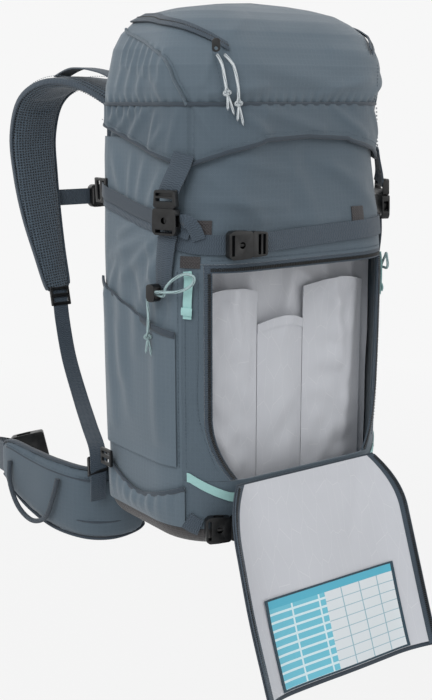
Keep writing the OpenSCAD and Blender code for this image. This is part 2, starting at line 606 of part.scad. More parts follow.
// ---------- hip belt ----------
// Points are [x, y, z, height, thickness] on the left side
wing_route = behind([[-88, 9.5, 6, 70, 4], [-98, 9.5, 5, 84, wing_t], [-128, 10.5, 4, 88, wing_t], [-154, 27.5, 5, 88, wing_t],
  [-170, 67.5, 8, 88, wing_t], [-178, 112.5, 15, 80, wing_t], [-184, 155.5, 27, 62, wing_t], [-185, 173.5, 29, 44, 8]]);
module belt_wing(s) {
  p = curve(s < 0 ? wing_route : flip_x(wing_route), 3);
  sweep(p, [0, 0, 1], 12);
}
module belt_wing_left() color("#566672") hung() belt_wing(-1);
module belt_wing_right() color("#566672") hung() belt_wing(1);

belt_route = behind([[-185, 176.3, 29], [-183, 195.5, 28], [-174, 217.5, 24], [-158, 235.5, 16], [-140, 245.5, 8]]);
module belt_strap(s) {
  p = curve([for (q = s < 0 ? belt_route : flip_x(belt_route)) concat(place(q), [belt_web_w, web_t])], 3);
  color(dark_fabric) sweep(p, [0, 0, 1]);
  color(black) translate([s * 138, back_y + 246.5, 7]) rotate([0, 0, s * 28]) rotate([0, -s * 78, 0])
    if (s < 0) translate([0, 0, socket_l(belt_web_w)]) socket(belt_web_w);
    else rotate([180, 0, 0]) translate([0, 0, -19]) { plug_frame(belt_web_w); prongs(belt_web_w); }
}
module belt_strap_left() hung() belt_strap(-1);
module belt_strap_right() hung() belt_strap(1);

gear_route = behind([[-193.2, 145.5, 34], [-196, 141.5, 8], [-195, 123.5, -18], [-190, 97.5, -30], [-185, 71.5, -20], [-182, 57.5, 6],
  [-177.4, 51.5, 32]]);
module gear_loop() { sweep(curve([for (q = gear_route) concat(q, [7, 5])], 3), [1, 0, 0], 8); }
module gear_loop_left() color(dark_fabric) hung() gear_loop();
module gear_loop_right() color(dark_fabric) hung() mirror([1, 0, 0]) gear_loop();

// ---------- tool cords ----------
// Points are [station, height, distance from the wall] on the left side
cord_route = [[-1.9, 276, 7], [-1.8, 275, 8], [-1.77, 284, 9], [-1.7, 293, 9], [-1.6, 299, 8], [-1.53, 296, 8],
  [-1.55, 288, 9], [-1.66, 281, 10], [-1.84, 279, 12], [-1.97, 274, 9], [-1.99, 252, 7], [-2, 232, 7]];
module tool_cords() color(mint) hung() both() {
  p = curve(cord_route, 3);
  sweep([for (q = p) concat(at(q.x, q.y, q[2]), [cord_d, cord_d])], [0.3, -1, 0.2], 8);
  e = cord_route[len(cord_route) - 1];
  translate(at(e.x, e.y - 4, e[2])) sphere(d = 7, $fn = 16);
}
// Each lock is a shell that both strands run through
module cord_locks() color(black) hung()
  both() seat(-1.9, 277, 9) difference() {
    plate(10) rounded(12, 18, 4);
    translate([-10, -4.1, -6.2]) cube([20, 8.4, 11.8]);
  }
// Loops for the cords, and the stripe that rises to the side seams
function stripe_z(u) = 60 + 22 * pow(clamp01((abs(u) - 1.2) / 0.4), 1.2);
module mint_trim() color(mint) hung() {
  both() panel(function(a, b) [mix(-1.65, -1.56, a), mix(252, 300, b)], 2, 4, 0.6, 1.9);
  panel(function(a, b) let (u = mix(-1.62, 1.62, a)) [u, stripe_z(u) + mix(-5, 5, b)], 28, 2, 1.2, 2);
}

back_panel();
side_panel_left();
side_panel_right();
front_upper_panel();
front_bands();
front_lower_panel();
base_boot();
compartment_divider();
tool_sleeves();
snow_collar();
opening_zip();
side_pocket_left();
side_pocket_right();
lower_pocket_left();
lower_pocket_right();
side_strap_left();
side_strap_right();
front_strap();
front_socket();
front_plug();
base_strap();
base_buckle();
lid_socket_left();
lid_socket_right();
frame_sheet();
frame_stays();
yoke();
haul_loop();
back_pads();
lumbar_pad();
tool_cords();
cord_locks();
mint_trim();
flap_panel();
flap_lining();
flap_zip();
info_card();
lid_crown();
lid_skirt();
lid_zip();
zip_slider();
zip_pulls();
lid_strap_left();
lid_strap_right();
lid_prongs_left();
lid_prongs_right();
shoulder_pad_left();
shoulder_pad_right();
shoulder_web_left();
shoulder_web_right();
sternum_left();
sternum_right();
sternum_prongs();
belt_wing_left();
belt_wing_right();
belt_strap_left();
belt_strap_right();
gear_loop_left();
gear_loop_right();
load_lifters();
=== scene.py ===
import math

import bmesh
import bpy
import numpy as np
from mathutils import Matrix, Vector


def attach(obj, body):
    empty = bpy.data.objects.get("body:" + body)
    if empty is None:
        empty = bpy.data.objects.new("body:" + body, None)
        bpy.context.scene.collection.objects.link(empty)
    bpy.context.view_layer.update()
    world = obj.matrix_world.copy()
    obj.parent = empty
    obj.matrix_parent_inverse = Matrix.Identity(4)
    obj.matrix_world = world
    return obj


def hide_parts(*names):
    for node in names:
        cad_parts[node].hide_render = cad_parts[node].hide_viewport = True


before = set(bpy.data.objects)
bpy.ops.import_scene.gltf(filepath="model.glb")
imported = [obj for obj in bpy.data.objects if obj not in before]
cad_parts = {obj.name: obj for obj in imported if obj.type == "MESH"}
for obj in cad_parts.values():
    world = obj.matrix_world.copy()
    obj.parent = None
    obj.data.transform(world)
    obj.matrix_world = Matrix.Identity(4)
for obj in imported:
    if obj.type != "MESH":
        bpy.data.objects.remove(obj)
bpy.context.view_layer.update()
bpy.ops.object.select_all(action="DESELECT")
mm = 0.001
packOrigin = np.array([0.0, -103.5, -461.0])  # from the pack's own millimetres to the row frame

# ---- camera ----
cameraView = {"place": (-0.7874, -1.1180, 0.0090), "turn": -36.0, "down": 12.26, "lens": 59.14}
bpy.ops.object.camera_add(
    location=cameraView["place"],
    rotation=(math.radians(90 - cameraView["down"]), 0, math.radians(cameraView["turn"])))
camera = bpy.context.object
camera.name = "photoCamera"
camera.data.lens = cameraView["lens"]
camera.data.sensor_width = 36
bpy.context.scene.camera = camera
bpy.context.scene.view_settings.view_transform = "Standard"
print("camera set")

# ---- the pack's sewn surface ----
# Station u runs round the bag: 0 front centre, 1 to 2 front corner, 2 to 3 side,
# 3 to 4 back corner, 5 back centre. Negative stations are on the left.
bag = {"half": 143.5, "depthHalf": 92.5, "frontRadius": 74, "backRadius": 26,
       "baseRadius": 30, "swell": 4, "swellHeight": 465,
       # the loaded cloth draws in towards the top: heights, and the change there of half width and of depth
       "draw": ([0, 302, 350, 406, 466], [0, 0, -3.5, -9, -9.5]), "setBack": ([0, 290, 406, 466], [0, 0, 5, 6])}
hinge = {"y": -(bag["depthHalf"] + bag["swell"] * math.sin(math.pi * 78 / bag["swellHeight"]) + 3.4),
         "z": 78, "angle": 160}
lid = {"seam": 466, "under": 1.4, "rise": 104.4, "brim": 0.86, "middle": (0, 7.0, 572.0)}
lidTable = {
    "half": ([0, 18, 38, 56, 72, 84, 93, 99, 103], [139, 142, 142, 137, 129, 118, 102, 79, 46]),
    "backHalf": ([0, 18, 38, 56, 72, 84, 93, 99, 103], [148, 147.5, 143, 138, 131, 120, 103, 80, 46]),
    "front": ([0, 18, 38, 56, 72, 84, 93, 99, 103], [-90, -93, -92, -85, -73, -59, -42, -25, -9]),
    "back": ([0, 18, 38, 56, 72, 84, 93, 99, 103], [90, 90, 89, 87, 81, 73, 61, 44, 24]),
    "radius": ([0, 38, 84, 99, 103], [76, 76, 58, 33, 14]),
}
stationArc = ([0, 1, 2, 3, 4, 5], [0, 69.5, 185.7, 270.7, 311.5, 429.0])


def mix(low, high, k):
    return low + (high - low) * k


def ringPoint(u, z, off, half, backHalf, front, back, frontRadius, backRadius):
    u, z, off = np.broadcast_arrays(*[np.asarray(q, float) for q in (u, z, off)])
    u = np.where(u > 5, u - 10, u)
    side, t = np.where(u < 0, -1.0, 1.0), np.abs(u)
    a = np.radians(np.clip(t - 1, 0, 1) * 90)
    c = np.radians(np.clip(t - 3, 0, 1) * 90)
    steps = [t <= 1, t <= 2, t <= 3, t <= 4]
    x = np.select(steps, [
        (half - frontRadius) * t, half - frontRadius + (frontRadius + off) * np.sin(a),
        mix(half, backHalf, t - 2) + off, backHalf - backRadius + (backRadius + off) * np.cos(c)],
        (backHalf - backRadius) * (5 - t))
    y = np.select(steps, [
        front - off, front + frontRadius - (frontRadius + off) * np.cos(a),
        mix(front + frontRadius, back - backRadius, t - 2),
        back - backRadius + (backRadius + off) * np.sin(c)], back + off)
    return np.stack([side * x, y, z], -1)


def bagPoint(u, h, off=0.0):
    h = np.asarray(h, float)
    low = np.clip(bag["baseRadius"] - h, 0, bag["baseRadius"])
    inset = bag["baseRadius"] - np.sqrt(bag["baseRadius"] ** 2 - low ** 2)
    swell = bag["swell"] * np.sin(math.pi * np.clip(h / bag["swellHeight"], 0, 1))
    half = bag["half"] - inset + swell
    return ringPoint(u, h, off, half + np.interp(h, *bag["draw"]), half,
                     -bag["depthHalf"] + inset - swell + np.interp(h, *bag["setBack"]), bag["depthHalf"] - inset,
                     bag["frontRadius"] - 0.8 * inset, bag["backRadius"] - 0.6 * inset)


def lidPoint(u, z, off=0.0):
    k = np.asarray(z, float) - lid["seam"]
    half, backHalf, front, back, radius = (
        np.interp(k, *lidTable[n]) for n in ("half", "backHalf", "front", "back", "radius"))
    return ringPoint(u, z, off, half, backHalf, front, back, radius, 0.45 * radius)


def openFlap(points):
    turn = math.radians(hinge["angle"])
    y, z = points[..., 1] - hinge["y"], points[..., 2] - hinge["z"]
    out = points.copy()
    out[..., 1] = math.cos(turn) * y - math.sin(turn) * z + hinge["y"]
    out[..., 2] = math.sin(turn) * y + math.cos(turn) * z + hinge["z"]
    return out


def arcOf(u):
    u = np.asarray(u, float)
    return np.sign(u) * np.interp(np.abs(u), *stationArc)


def stationOf(arc):
    arc = np.asarray(arc, float)
    return np.sign(arc) * np.interp(np.abs(arc), stationArc[1], stationArc[0])


def curveThrough(points, spans=8):
    p = np.array(points, float)
    rows = []
    for i in range(len(p) - 1):
        a, b, c, d = p[max(i - 1, 0)], p[i], p[i + 1], p[min(i + 2, len(p) - 1)]
        for t in np.arange(spans) / spans:
            rows.append(b + 0.5 * t * (c - a + t * (2 * a - 5 * b + 4 * c - d + t * (3 * (b - c) + d - a))))
    return np.array(rows + [p[-1]])


# Creases and swells, in millimetres on the cloth: start, end, width, height
def creases(x, y, rows):
    total = np.zeros_like(x)
    for x0, y0, x1, y1, width, height in rows:
        dx, dy = x1 - x0, y1 - y0
        t = np.clip(((x - x0) * dx + (y - y0) * dy) / (dx * dx + dy * dy), 0, 1)
        away = np.hypot(x - x0 - t * dx, y - y0 - t * dy)
        total += height * np.exp(-(away / width) ** 2) * (0.35 + 0.65 * np.sin(math.pi * (0.1 + 0.8 * t)))
    return total


def ripples(x, y, size, height, seed):
    rng = np.random.default_rng(seed)
    total = np.zeros_like(x)
    for k in range(7):
        turn, phase, scale = rng.uniform(0, math.pi), rng.uniform(0, 2 * math.pi), rng.uniform(0.7, 1.8)
        total += np.sin(2 * math.pi / (size * scale) * (x * math.cos(turn) + y * math.sin(turn)) + phase)
    return total * height / 3.2


def smoothStep(k):
    k = np.clip(k, 0, 1)
    return k * k * (3 - 2 * k)


def fadeIn(a, b, acrossRate, upRate):
    # 0 at the edges of a patch, 1 away from them
    return smoothStep(np.minimum(np.minimum(a, 1 - a) * acrossRate, np.minimum(b, 1 - b) * upRate))


# A patch is laid by functions of a (across) and b (up), both from 0 to 1
def fromTo(low, high):
    return lambda a, b: mix(low, high, a)


def upFrom(low, high):
    return lambda a, b: mix(low, high, b)


def evenly(off):
    return lambda a, b, x, h: off + 0 * a


def strip(s, near, far):
    # stations across a strip of side s; near and far are numbers or functions of b
    def station(a, b):
        low, high = (q(b) if callable(q) else q for q in (near, far))
        return mix(-high, -low, a) if s < 0 else mix(low, high, a)
    return station


def unitRows(rows):
    return rows / np.linalg.norm(rows, axis=1)[:, None]


def directions(points):
    return unitRows(np.gradient(points, axis=0))


def squareTo(way, across):
    # one direction made square to each row's way
    across = np.array(across, float)
    return unitRows(across - way * (way @ across)[:, None])


def roundedRing(a, power=0.7):
    # a ring between a circle and a square, once round as a goes from 0 to 1
    turn = 2 * math.pi * a
    return [np.sign(q) * np.abs(q) ** power for q in (np.cos(turn), np.sin(turn))]


def readVectors(items, field):
    values = np.empty(len(items) * 3)
    items.foreach_get(field, values)
    return values.reshape(-1, 3)

# ---- materials ----
def paint(code):
    values = [int(code[i:i + 2], 16) / 255 for i in (1, 3, 5)]
    return (*[v / 12.92 if v <= 0.04045 else ((v + 0.055) / 1.055) ** 2.4 for v in values], 1.0)


def addNode(tree, kind, inputs=(), **settings):
    node = tree.nodes.new(kind)
    for key, value in settings.items():
        setattr(node, key, value)
    for key, value in dict(inputs).items():
        if isinstance(value, bpy.types.NodeSocket):
            tree.links.new(value, node.inputs[key])
        else:
            node.inputs[key].default_value = value
    return node


def mathsIn(tree):
    def work(operation, *values):
        return addNode(tree, "ShaderNodeMath", dict(enumerate(values)), operation=operation).outputs[0]
    return work


def startGroup(name, inputs, outputs):
    # inputs: the default of each value; None marks the vector
    group = bpy.data.node_groups.new(name, "ShaderNodeTree")
    for label, value in inputs.items():
        kind = "NodeSocketVector" if value is None else "NodeSocketFloat"
        socket = group.interface.new_socket(label, in_out="INPUT", socket_type=kind)
        if value is not None:
            socket.default_value = value
    for label in outputs:
        group.interface.new_socket(label, in_out="OUTPUT", socket_type="NodeSocketFloat")
    given, out = group.nodes.new("NodeGroupInput").outputs, group.nodes.new("NodeGroupOutput").inputs
    return group, given, out, mathsIn(group)


def weaveGroup():
    # plain weave: threads over and under each other, with a heavier thread every few
    group, given, out, op = startGroup("clothWeave", {
        "Vector": None, "Thread Width": 0.0011, "Grid Every": 6.0, "Grid Weight": 0.3}, ("Height", "Shade"))
    place = addNode(group, "ShaderNodeSeparateXYZ", {0: given["Vector"]})
    alongs = [op("DIVIDE", place.outputs[axis], given["Thread Width"]) for axis in (0, 1)]
    waves = [op("SINE", op("MULTIPLY", along, math.pi)) for along in alongs]
    grid = []
    for along in alongs:
        part = op("FRACT", op("DIVIDE", along, given["Grid Every"]))
        away = op("ABSOLUTE", op("SUBTRACT", part, 0.5))
        grid.append(op("MAXIMUM", op("SUBTRACT", 1.0, op("MULTIPLY", away, 5.0)), 0.0))
    threads = op("MULTIPLY_ADD", op("MULTIPLY", *waves), 0.35, 0.35)
    height = op("MULTIPLY_ADD", op("MAXIMUM", *grid), given["Grid Weight"], threads)
    group.links.new(height, out["Height"])
    group.links.new(op("MULTIPLY_ADD", height, 0.5, 0.5), out["Shade"])
    return group


def webbingGroup():
    # ribs across the tape that lean one way, then the other
    group, given, out, op = startGroup("webbingWeave", {
        "Vector": None, "Rib Pitch": 0.0024, "Lean": 0.45, "Lean Width": 0.0028}, ("Height", "Shade"))
    place = addNode(group, "ShaderNodeSeparateXYZ", {0: given["Vector"]})
    zigzag = op("PINGPONG", place.outputs[0], given["Lean Width"])
    along = op("MULTIPLY_ADD", zigzag, given["Lean"], place.outputs[1])
    wave = op("SINE", op("MULTIPLY", op("DIVIDE", along, given["Rib Pitch"]), 2 * math.pi))
    height = op("MULTIPLY_ADD", wave, 0.5, 0.5)
    group.links.new(height, out["Height"])
    group.links.new(op("MULTIPLY_ADD", height, 0.4, 0.6), out["Shade"])
    return group


def toneGroup():
    # slow change of tone, from the object's own place
    group, given, out, op = startGroup("slowTone", {"Vector": None, "Patch Size": 0.08, "Amount": 0.12}, ("Tone",))
    slow = addNode(group, "ShaderNodeTexNoise", {
        "Vector": given["Vector"], "Scale": op("DIVIDE", 1.0, given["Patch Size"]),
        "Detail": 3.0, "Roughness": 0.55})
    group.links.new(op("MULTIPLY_ADD", op("SUBTRACT", slow.outputs[0], 0.5), given["Amount"], 1.0), out["Tone"])
    return group


def meshGroup():
    # spacer mesh: staggered round holes between thicker threads
    group, given, out, op = startGroup("spacerMesh", {"Vector": None, "Pitch": 0.0034, "Hole": 0.30}, ("Thread",))
    cells = addNode(group, "ShaderNodeTexVoronoi", {
        "Vector": given["Vector"], "Scale": op("DIVIDE", 1.0, given["Pitch"]), "Randomness": 0.12},
        voronoi_dimensions="2D")
    near = op("SUBTRACT", cells.outputs["Distance"], given["Hole"])
    thread = addNode(group, "ShaderNodeMapRange", {0: near, 1: -0.03, 2: 0.08}, clamp=True).outputs[0]
    group.links.new(thread, out["Thread"])
    return group


def braidGroup():
    # two sets of strands that cross round a cord; the UV's first value runs round it
    group, given, out, op = startGroup("cordBraid", {"Vector": None, "Strands": 6.0, "Pitch": 0.0055},
                                       ("Height", "Fleck"))
    place = addNode(group, "ShaderNodeSeparateXYZ", {0: given["Vector"]})
    around = op("MULTIPLY", place.outputs[0], given["Strands"])
    along = op("DIVIDE", place.outputs[1], given["Pitch"])
    waves = [op("ABSOLUTE", op("SINE", op("MULTIPLY", op(way, around, along), math.pi)))
             for way in ("ADD", "SUBTRACT")]
    group.links.new(op("MULTIPLY", *waves), out["Height"])
    spot = op("FRACT", op("MULTIPLY_ADD", around, 0.5, op("MULTIPLY", along, 0.25)))
    group.links.new(op("GREATER_THAN", spot, 0.84), out["Fleck"])
    return group


def grainGroup():
    # moulded plastic: fine spark grain and rubbed, paler places
    group, given, out, op = startGroup("mouldedGrain", {"Vector": None, "Grain Size": 0.0006}, ("Height", "Rub"))
    grain = addNode(group, "ShaderNodeTexNoise", {
        "Vector": given["Vector"], "Scale": op("DIVIDE", 1.0, given["Grain Size"]), "Detail": 2.0})
    rub = addNode(group, "ShaderNodeTexNoise", {"Vector": given["Vector"], "Scale": 160.0, "Detail": 5.0})
    rubbed = addNode(group, "ShaderNodeMapRange", {0: rub.outputs[0], 1: 0.45, 2: 0.8})
    group.links.new(grain.outputs[0], out["Height"])
    group.links.new(rubbed.outputs[0], out["Rub"])
    return group


groups = {"weave": weaveGroup(), "webbing": webbingGroup(), "tone": toneGroup(), "mesh": meshGroup(),
          "braid": braidGroup(), "grain": grainGroup()}


def startMaterial(name, roughness=0.8, **sockets):
    material = bpy.data.materials.new(name)
    material.use_nodes = True
    tree = material.node_tree
    shader = tree.nodes["Principled BSDF"]
    shader.inputs["Roughness"].default_value = roughness
    for key, value in sockets.items():
        shader.inputs[key.replace("_", " ")].default_value = value
    return material, tree, shader, addNode(tree, "ShaderNodeTexCoord").outputs


def placeGroup(tree, name, **inputs):
    named = {key.replace("_", " "): value for key, value in inputs.items()}
    return addNode(tree, "ShaderNodeGroup", named, node_tree=groups[name]).outputs


def blend(tree, under, over, factor, **settings):
    return addNode(tree, "ShaderNodeMix", {0: factor, 6: under, 7: over}, data_type="RGBA", **settings).outputs[2]


def tintBy(tree, dark, light, factor):
    return blend(tree, paint(dark), paint(light), factor)


def bumpOn(tree, shader, height, distance):
    bump = addNode(tree, "ShaderNodeBump", {"Height": height, "Distance": distance, "Strength": 1.0})
    tree.links.new(bump.outputs[0], shader.inputs["Normal"])


def dress(parts, colour, height, bump, **toneInputs):
    # base colour varied by the slow tone, with a bump from the cloth's own height
    material, tree, shader, coords = parts
    tone = placeGroup(tree, "tone", Vector=coords["Object"], **toneInputs)["Tone"]
    grey = addNode(tree, "ShaderNodeCombineColor", {0: tone, 1: tone, 2: tone}).outputs[0]
    tree.links.new(blend(tree, colour, grey, 1.0, blend_type="MULTIPLY"), shader.inputs["Base Color"])
    bumpOn(tree, shader, height, bump)
    return material


def makeCloth(name, dark, light, threadWidth, gridEvery, gridWeight, roughness, bump):
    parts = material, tree, shader, coords = startMaterial(name, roughness, Sheen_Weight=0.25, Sheen_Roughness=0.5)
    weave = placeGroup(tree, "weave", Vector=coords["UV"], Thread_Width=threadWidth,
                       Grid_Every=gridEvery, Grid_Weight=gridWeight)
    return dress(parts, tintBy(tree, dark, light, weave["Shade"]), weave["Height"], bump, Amount=0.16)


def makeWebbing(name, dark, light):
    parts = material, tree, shader, coords = startMaterial(name, 0.72, Sheen_Weight=0.2)
    weave = placeGroup(tree, "webbing", Vector=coords["UV"])
    return dress(parts, tintBy(tree, dark, light, weave["Shade"]), weave["Height"], 0.0004, Patch_Size=0.03)


def makeMoulded(name, dark, light, roughness):
    material, tree, shader, coords = startMaterial(name, roughness)
    grain = placeGroup(tree, "grain", Vector=coords["Object"])
    tree.links.new(tintBy(tree, dark, light, grain["Rub"]), shader.inputs["Base Color"])
    bumpOn(tree, shader, grain["Height"], 0.00006)
    tree.links.new(mathsIn(tree)("MULTIPLY_ADD", grain["Rub"], 0.12, roughness), shader.inputs["Roughness"])
    return material


def makeMeshCloth():
    parts = material, tree, shader, coords = startMaterial("spacerMeshCloth", 0.85, Sheen_Weight=0.3)
    thread = placeGroup(tree, "mesh", Vector=coords["UV"])["Thread"]
    return dress(parts, tintBy(tree, "#1b242c", "#4d5c69", thread), thread, 0.0008)


def makeLining():
    # pale cloth with a fine print of slanting lines
    parts = material, tree, shader, coords = startMaterial("paleLining", 0.7, Sheen_Weight=0.2)
    weave = placeGroup(tree, "weave", Vector=coords["UV"], Thread_Width=0.0007, Grid_Weight=0.0)
    slant = addNode(tree, "ShaderNodeMapping", {
        "Vector": coords["UV"], "Rotation": (0, 0, 0.5), "Scale": (1, 0.3, 1)})
    lines = addNode(tree, "ShaderNodeTexVoronoi", {"Vector": slant.outputs[0], "Scale": 84.0},
                    voronoi_dimensions="2D", feature="DISTANCE_TO_EDGE")
    line = mathsIn(tree)("LESS_THAN", lines.outputs["Distance"], 0.011)
    printed = blend(tree, tintBy(tree, "#bcc0c7", "#d2d4da", weave["Shade"]), paint("#d5d7dc"), line)
    return dress(parts, printed, weave["Height"], 0.0002, Amount=0.08)


def makeCard():
    # a printed cloth card: dark border, pale blue blocks on the left, a pale grid on the right
    material, tree, shader, coords = startMaterial("printedCard", 0.55)
    op = mathsIn(tree)
    place = addNode(tree, "ShaderNodeSeparateXYZ", {0: coords["UV"]})
    across = op("DIVIDE", op("ADD", place.outputs[0], 0.088), 0.176)
    down = op("DIVIDE", op("SUBTRACT", place.outputs[1], 0.204), 0.096)

    def lines(value, count, share):
        return op("GREATER_THAN", op("FRACT", op("MULTIPLY", value, count)), share)

    left = op("LESS_THAN", across, 0.44)
    colour = tintBy(tree, "#dfe6ea", "#8fb6c4", lines(down, 9.0, 0.93))
    for over, factor in (
            ("#8fb6c4", lines(across, 7.0, 0.95)), ("#6fc3d8", left),
            ("#d8eef4", op("MULTIPLY", left, op("MAXIMUM", lines(down, 11.0, 0.72), lines(across, 5.0, 0.94)))),
            ("#55b4cd", op("LESS_THAN", down, 0.11))):
        colour = blend(tree, colour, paint(over), factor)
    edge = op("MINIMUM", *[op("MINIMUM", value, op("SUBTRACT", 1.0, value)) for value in (across, down)])
    colour = blend(tree, colour, paint("#1f3b49"), op("LESS_THAN", edge, 0.022))
    tree.links.new(colour, shader.inputs["Base Color"])
    weave = placeGroup(tree, "weave", Vector=coords["UV"], Thread_Width=0.0006, Grid_Weight=0.0)
    bumpOn(tree, shader, weave["Height"], 0.0001)
    return material


def makeCordMaterial(name, base, fleck):
    material, tree, shader, coords = startMaterial(name, 0.7, Sheen_Weight=0.2)
    braid = placeGroup(tree, "braid", Vector=coords["UV"])
    tree.links.new(tintBy(tree, base, fleck, braid["Fleck"]), shader.inputs["Base Color"])
    bumpOn(tree, shader, braid["Height"], 0.0005)
    return material


finish = {
    # name, dark, light, thread width, grid every, grid weight, roughness, bump
    "shell": makeCloth("shellCloth", "#3a4853", "#50606c", 0.0009, 6.0, 0.25, 0.7, 0.00025),
    # a paler copy of the shell cloth, its painted light: worn by the left side, the left pockets, the lid's crown,
    # piping and the collar
    "shellPaintedLit": makeCloth("shellClothPaintedLit", "#43525d", "#5b6b77", 0.0009, 6.0, 0.25, 0.66, 0.00025),
    "dark": makeCloth("darkCloth", "#222c36", "#33404c", 0.0009, 8.0, 0.1, 0.75, 0.00025),
    "boot": makeCloth("bootCloth", "#171416", "#2a2628", 0.0016, 4.0, 0.4, 0.6, 0.0005),
    "mint": makeCloth("mintTape", "#7fb0af", "#a5d0ce", 0.0008, 6.0, 0.1, 0.6, 0.0002),
    "webbing": makeWebbing("webbingDark", "#232e38", "#3c4a57"),
    "lining": makeLining(),
    "mesh": makeMeshCloth(),
    "black": makeMoulded("mouldedBlack", "#08090a", "#17191b", 0.34),
    "thread": makeMoulded("sewingThread", "#46545f", "#6d7b86", 0.8),
    "metal": makeMoulded("stayAluminium", "#8d9195", "#a9adb1", 0.4),
    "sheetPlastic": makeMoulded("framePlastic", "#1e2124", "#34383c", 0.5),
    "cordPale": makeCordMaterial("cordPale", "#dfe6ea", "#5f7380"),
    "cordMint": makeCordMaterial("cordMint", "#a9c4c6", "#43545f"),
    "card": makeCard(),
}
print("materials made")
print("materials made")


# ---- making pieces ----
bothSides = (("Left", -1), ("Right", 1))


def finishPiece(piece, material, body, replaces=(), second=None):
    piece.data.materials.clear()
    for look in (material, second) if second else (material,):
        piece.data.materials.append(finish[look])
    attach(piece, body)
    if replaces:
        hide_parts(*replaces)
    bpy.ops.object.select_all(action="DESELECT")
    return piece


def applyModifier(piece, kind, **settings):
    bpy.context.view_layer.objects.active = piece
    modifier = piece.modifiers.new(kind.title(), kind)
    for key, value in settings.items():
        setattr(modifier, key, value)
    bpy.ops.object.modifier_apply(modifier=modifier.name)


def layGrid(name, acrossCount, alongCount, place, thickness=0.0, inner=False, smooth=60):
    bpy.ops.mesh.primitive_grid_add(x_subdivisions=acrossCount, y_subdivisions=alongCount, size=1)
    piece = bpy.context.object
    piece.name = piece.data.name = name
    mesh = piece.data
    co = np.clip(readVectors(mesh.vertices, "co") + 0.5, 0, 1)
    points, flat = place(co[:, 0], co[:, 1])
    mesh.vertices.foreach_set("co", ((points + packOrigin) * mm).ravel())
    corner = np.empty(len(mesh.loops), np.int32)
    mesh.loops.foreach_get("vertex_index", corner)
    layer = mesh.uv_layers[0] if mesh.uv_layers else mesh.uv_layers.new(name="UVMap")
    layer.data.foreach_set("uv", (flat[corner] * mm).ravel())
    if thickness:
        applyModifier(piece, "SOLIDIFY", thickness=thickness * mm, offset=-1,
                      material_offset=1 if inner else 0, use_even_offset=False)
    bpy.context.view_layer.objects.active = piece
    piece.select_set(True)
    bpy.ops.object.shade_smooth_by_angle(angle=math.radians(smooth))
    piece.select_set(False)
    return piece


def sew(name, counts, place, thickness, material, body, nodes=(), inner=False):
    # a sheet of cloth with its thickness inwards; inner gives its inside the lining's look
    piece = layGrid(name, *counts, place, thickness=thickness, inner=inner)
    return finishPiece(piece, material, body, nodes, "lining" if inner else None)


def onBag(station, height, off):
    def place(a, b):
        u, h = station(a, b), height(a, b)
        x = arcOf(u)
        return bagPoint(u, h, off(a, b, x, h)), np.stack([x, h], -1)
    return place


def framesAlong(route):
    # direction, side and normal at each point, turned as little as possible from one to the next
    way = directions(route)
    side = np.zeros_like(route)
    start = np.array([0, 0, 1.0]) if abs(way[0][2]) < 0.9 else np.array([1.0, 0, 0])
    side[0] = np.cross(way[0], start)
    for i in range(1, len(route)):
        side[i] = side[i - 1] - way[i] * (side[i - 1] @ way[i])
    side = unitRows(side)
    return way, side, np.cross(way, side)


def lengthsAlong(route):
    return np.concatenate([[0], np.cumsum(np.linalg.norm(np.diff(route, axis=0), axis=1))])


def mergeSeam(piece, fill=True):
    bpy.context.view_layer.objects.active = piece
    bpy.ops.object.mode_set(mode="EDIT")
    bpy.ops.mesh.select_all(action="SELECT")
    bpy.ops.mesh.remove_doubles(threshold=0.00002)
    if fill:
        bpy.ops.mesh.fill_holes(sides=0)
    bpy.ops.object.mode_set(mode="OBJECT")


def layTube(name, route, radius, sides=12, endTaper=0.0):
    # round tube along a route, its UV running once round it and in millimetres along it
    route = np.array(route, float)
    way, side, normal = framesAlong(route)
    runs = lengthsAlong(route)
    count = len(route) - 1

    def place(a, b):
        k = np.rint(b * count).astype(int)
        turn = 2 * math.pi * a
        grown = np.full_like(b, radius)
        if endTaper:
            near = np.minimum(runs[k], runs[-1] - runs[k]) / endTaper
            grown = radius * np.sqrt(np.clip(1 - (1 - np.clip(near, 0, 1)) ** 2, 0.04, 1))
        out = side[k] * np.cos(turn)[:, None] + normal[k] * np.sin(turn)[:, None]
        return route[k] + out * grown[:, None], np.stack([a * 1000, runs[k]], -1)

    piece = layGrid(name, sides, count, place, smooth=80)
    mergeSeam(piece)
    return piece


def bindEdge(name, edges, width, body, thickness, material="dark"):
    # narrow folded tape over an edge: a flattened tube along it
    points, out = edges[0], unitRows(edges[1])
    runs = lengthsAlong(points)
    across = np.cross(directions(points), out)
    count = len(points) - 1

    def place(a, b):
        k = np.rint(b * count).astype(int)
        wide, thick = roundedRing(a)
        return (points[k] + across[k] * (wide * width / 2)[:, None] - out[k] * (thick * thickness / 2)[:, None],
                np.stack([a * (2 * width + 2 * thickness), runs[k]], -1))

    piece = layGrid(name, 12, count, place, smooth=70)
    mergeSeam(piece)
    return finishPiece(piece, material, body)


def surfaceLine(surface, u, h, off):
    # the points of a line on a surface, and the outward direction at each
    low, high = surface(u, h, off), surface(u, h, off + 1.0)
    return low, high - low


def shapeBlock(size, bevel):
    # one small rounded block; repeatAlong copies it
    bpy.ops.mesh.primitive_cube_add(size=1)
    block = bpy.context.object
    block.scale = [q * mm for q in size]
    bpy.ops.object.transform_apply(location=False, rotation=False, scale=True)
    applyModifier(block, "BEVEL", width=bevel * mm, segments=1)
    corners = np.array([v.co[:] for v in block.data.vertices]) / mm
    faces = [tuple(p.vertices) for p in block.data.polygons]
    bpy.data.objects.remove(block)
    return corners, faces


blocks = {"tooth": {"block": shapeBlock((1.3, 3.4, 1.6), 0.3), "pitch": 2.2, "material": "black"},
          "stitch": {"block": shapeBlock((2.1, 0.55, 0.6), 0.14), "pitch": 3.6, "material": "thread"}}


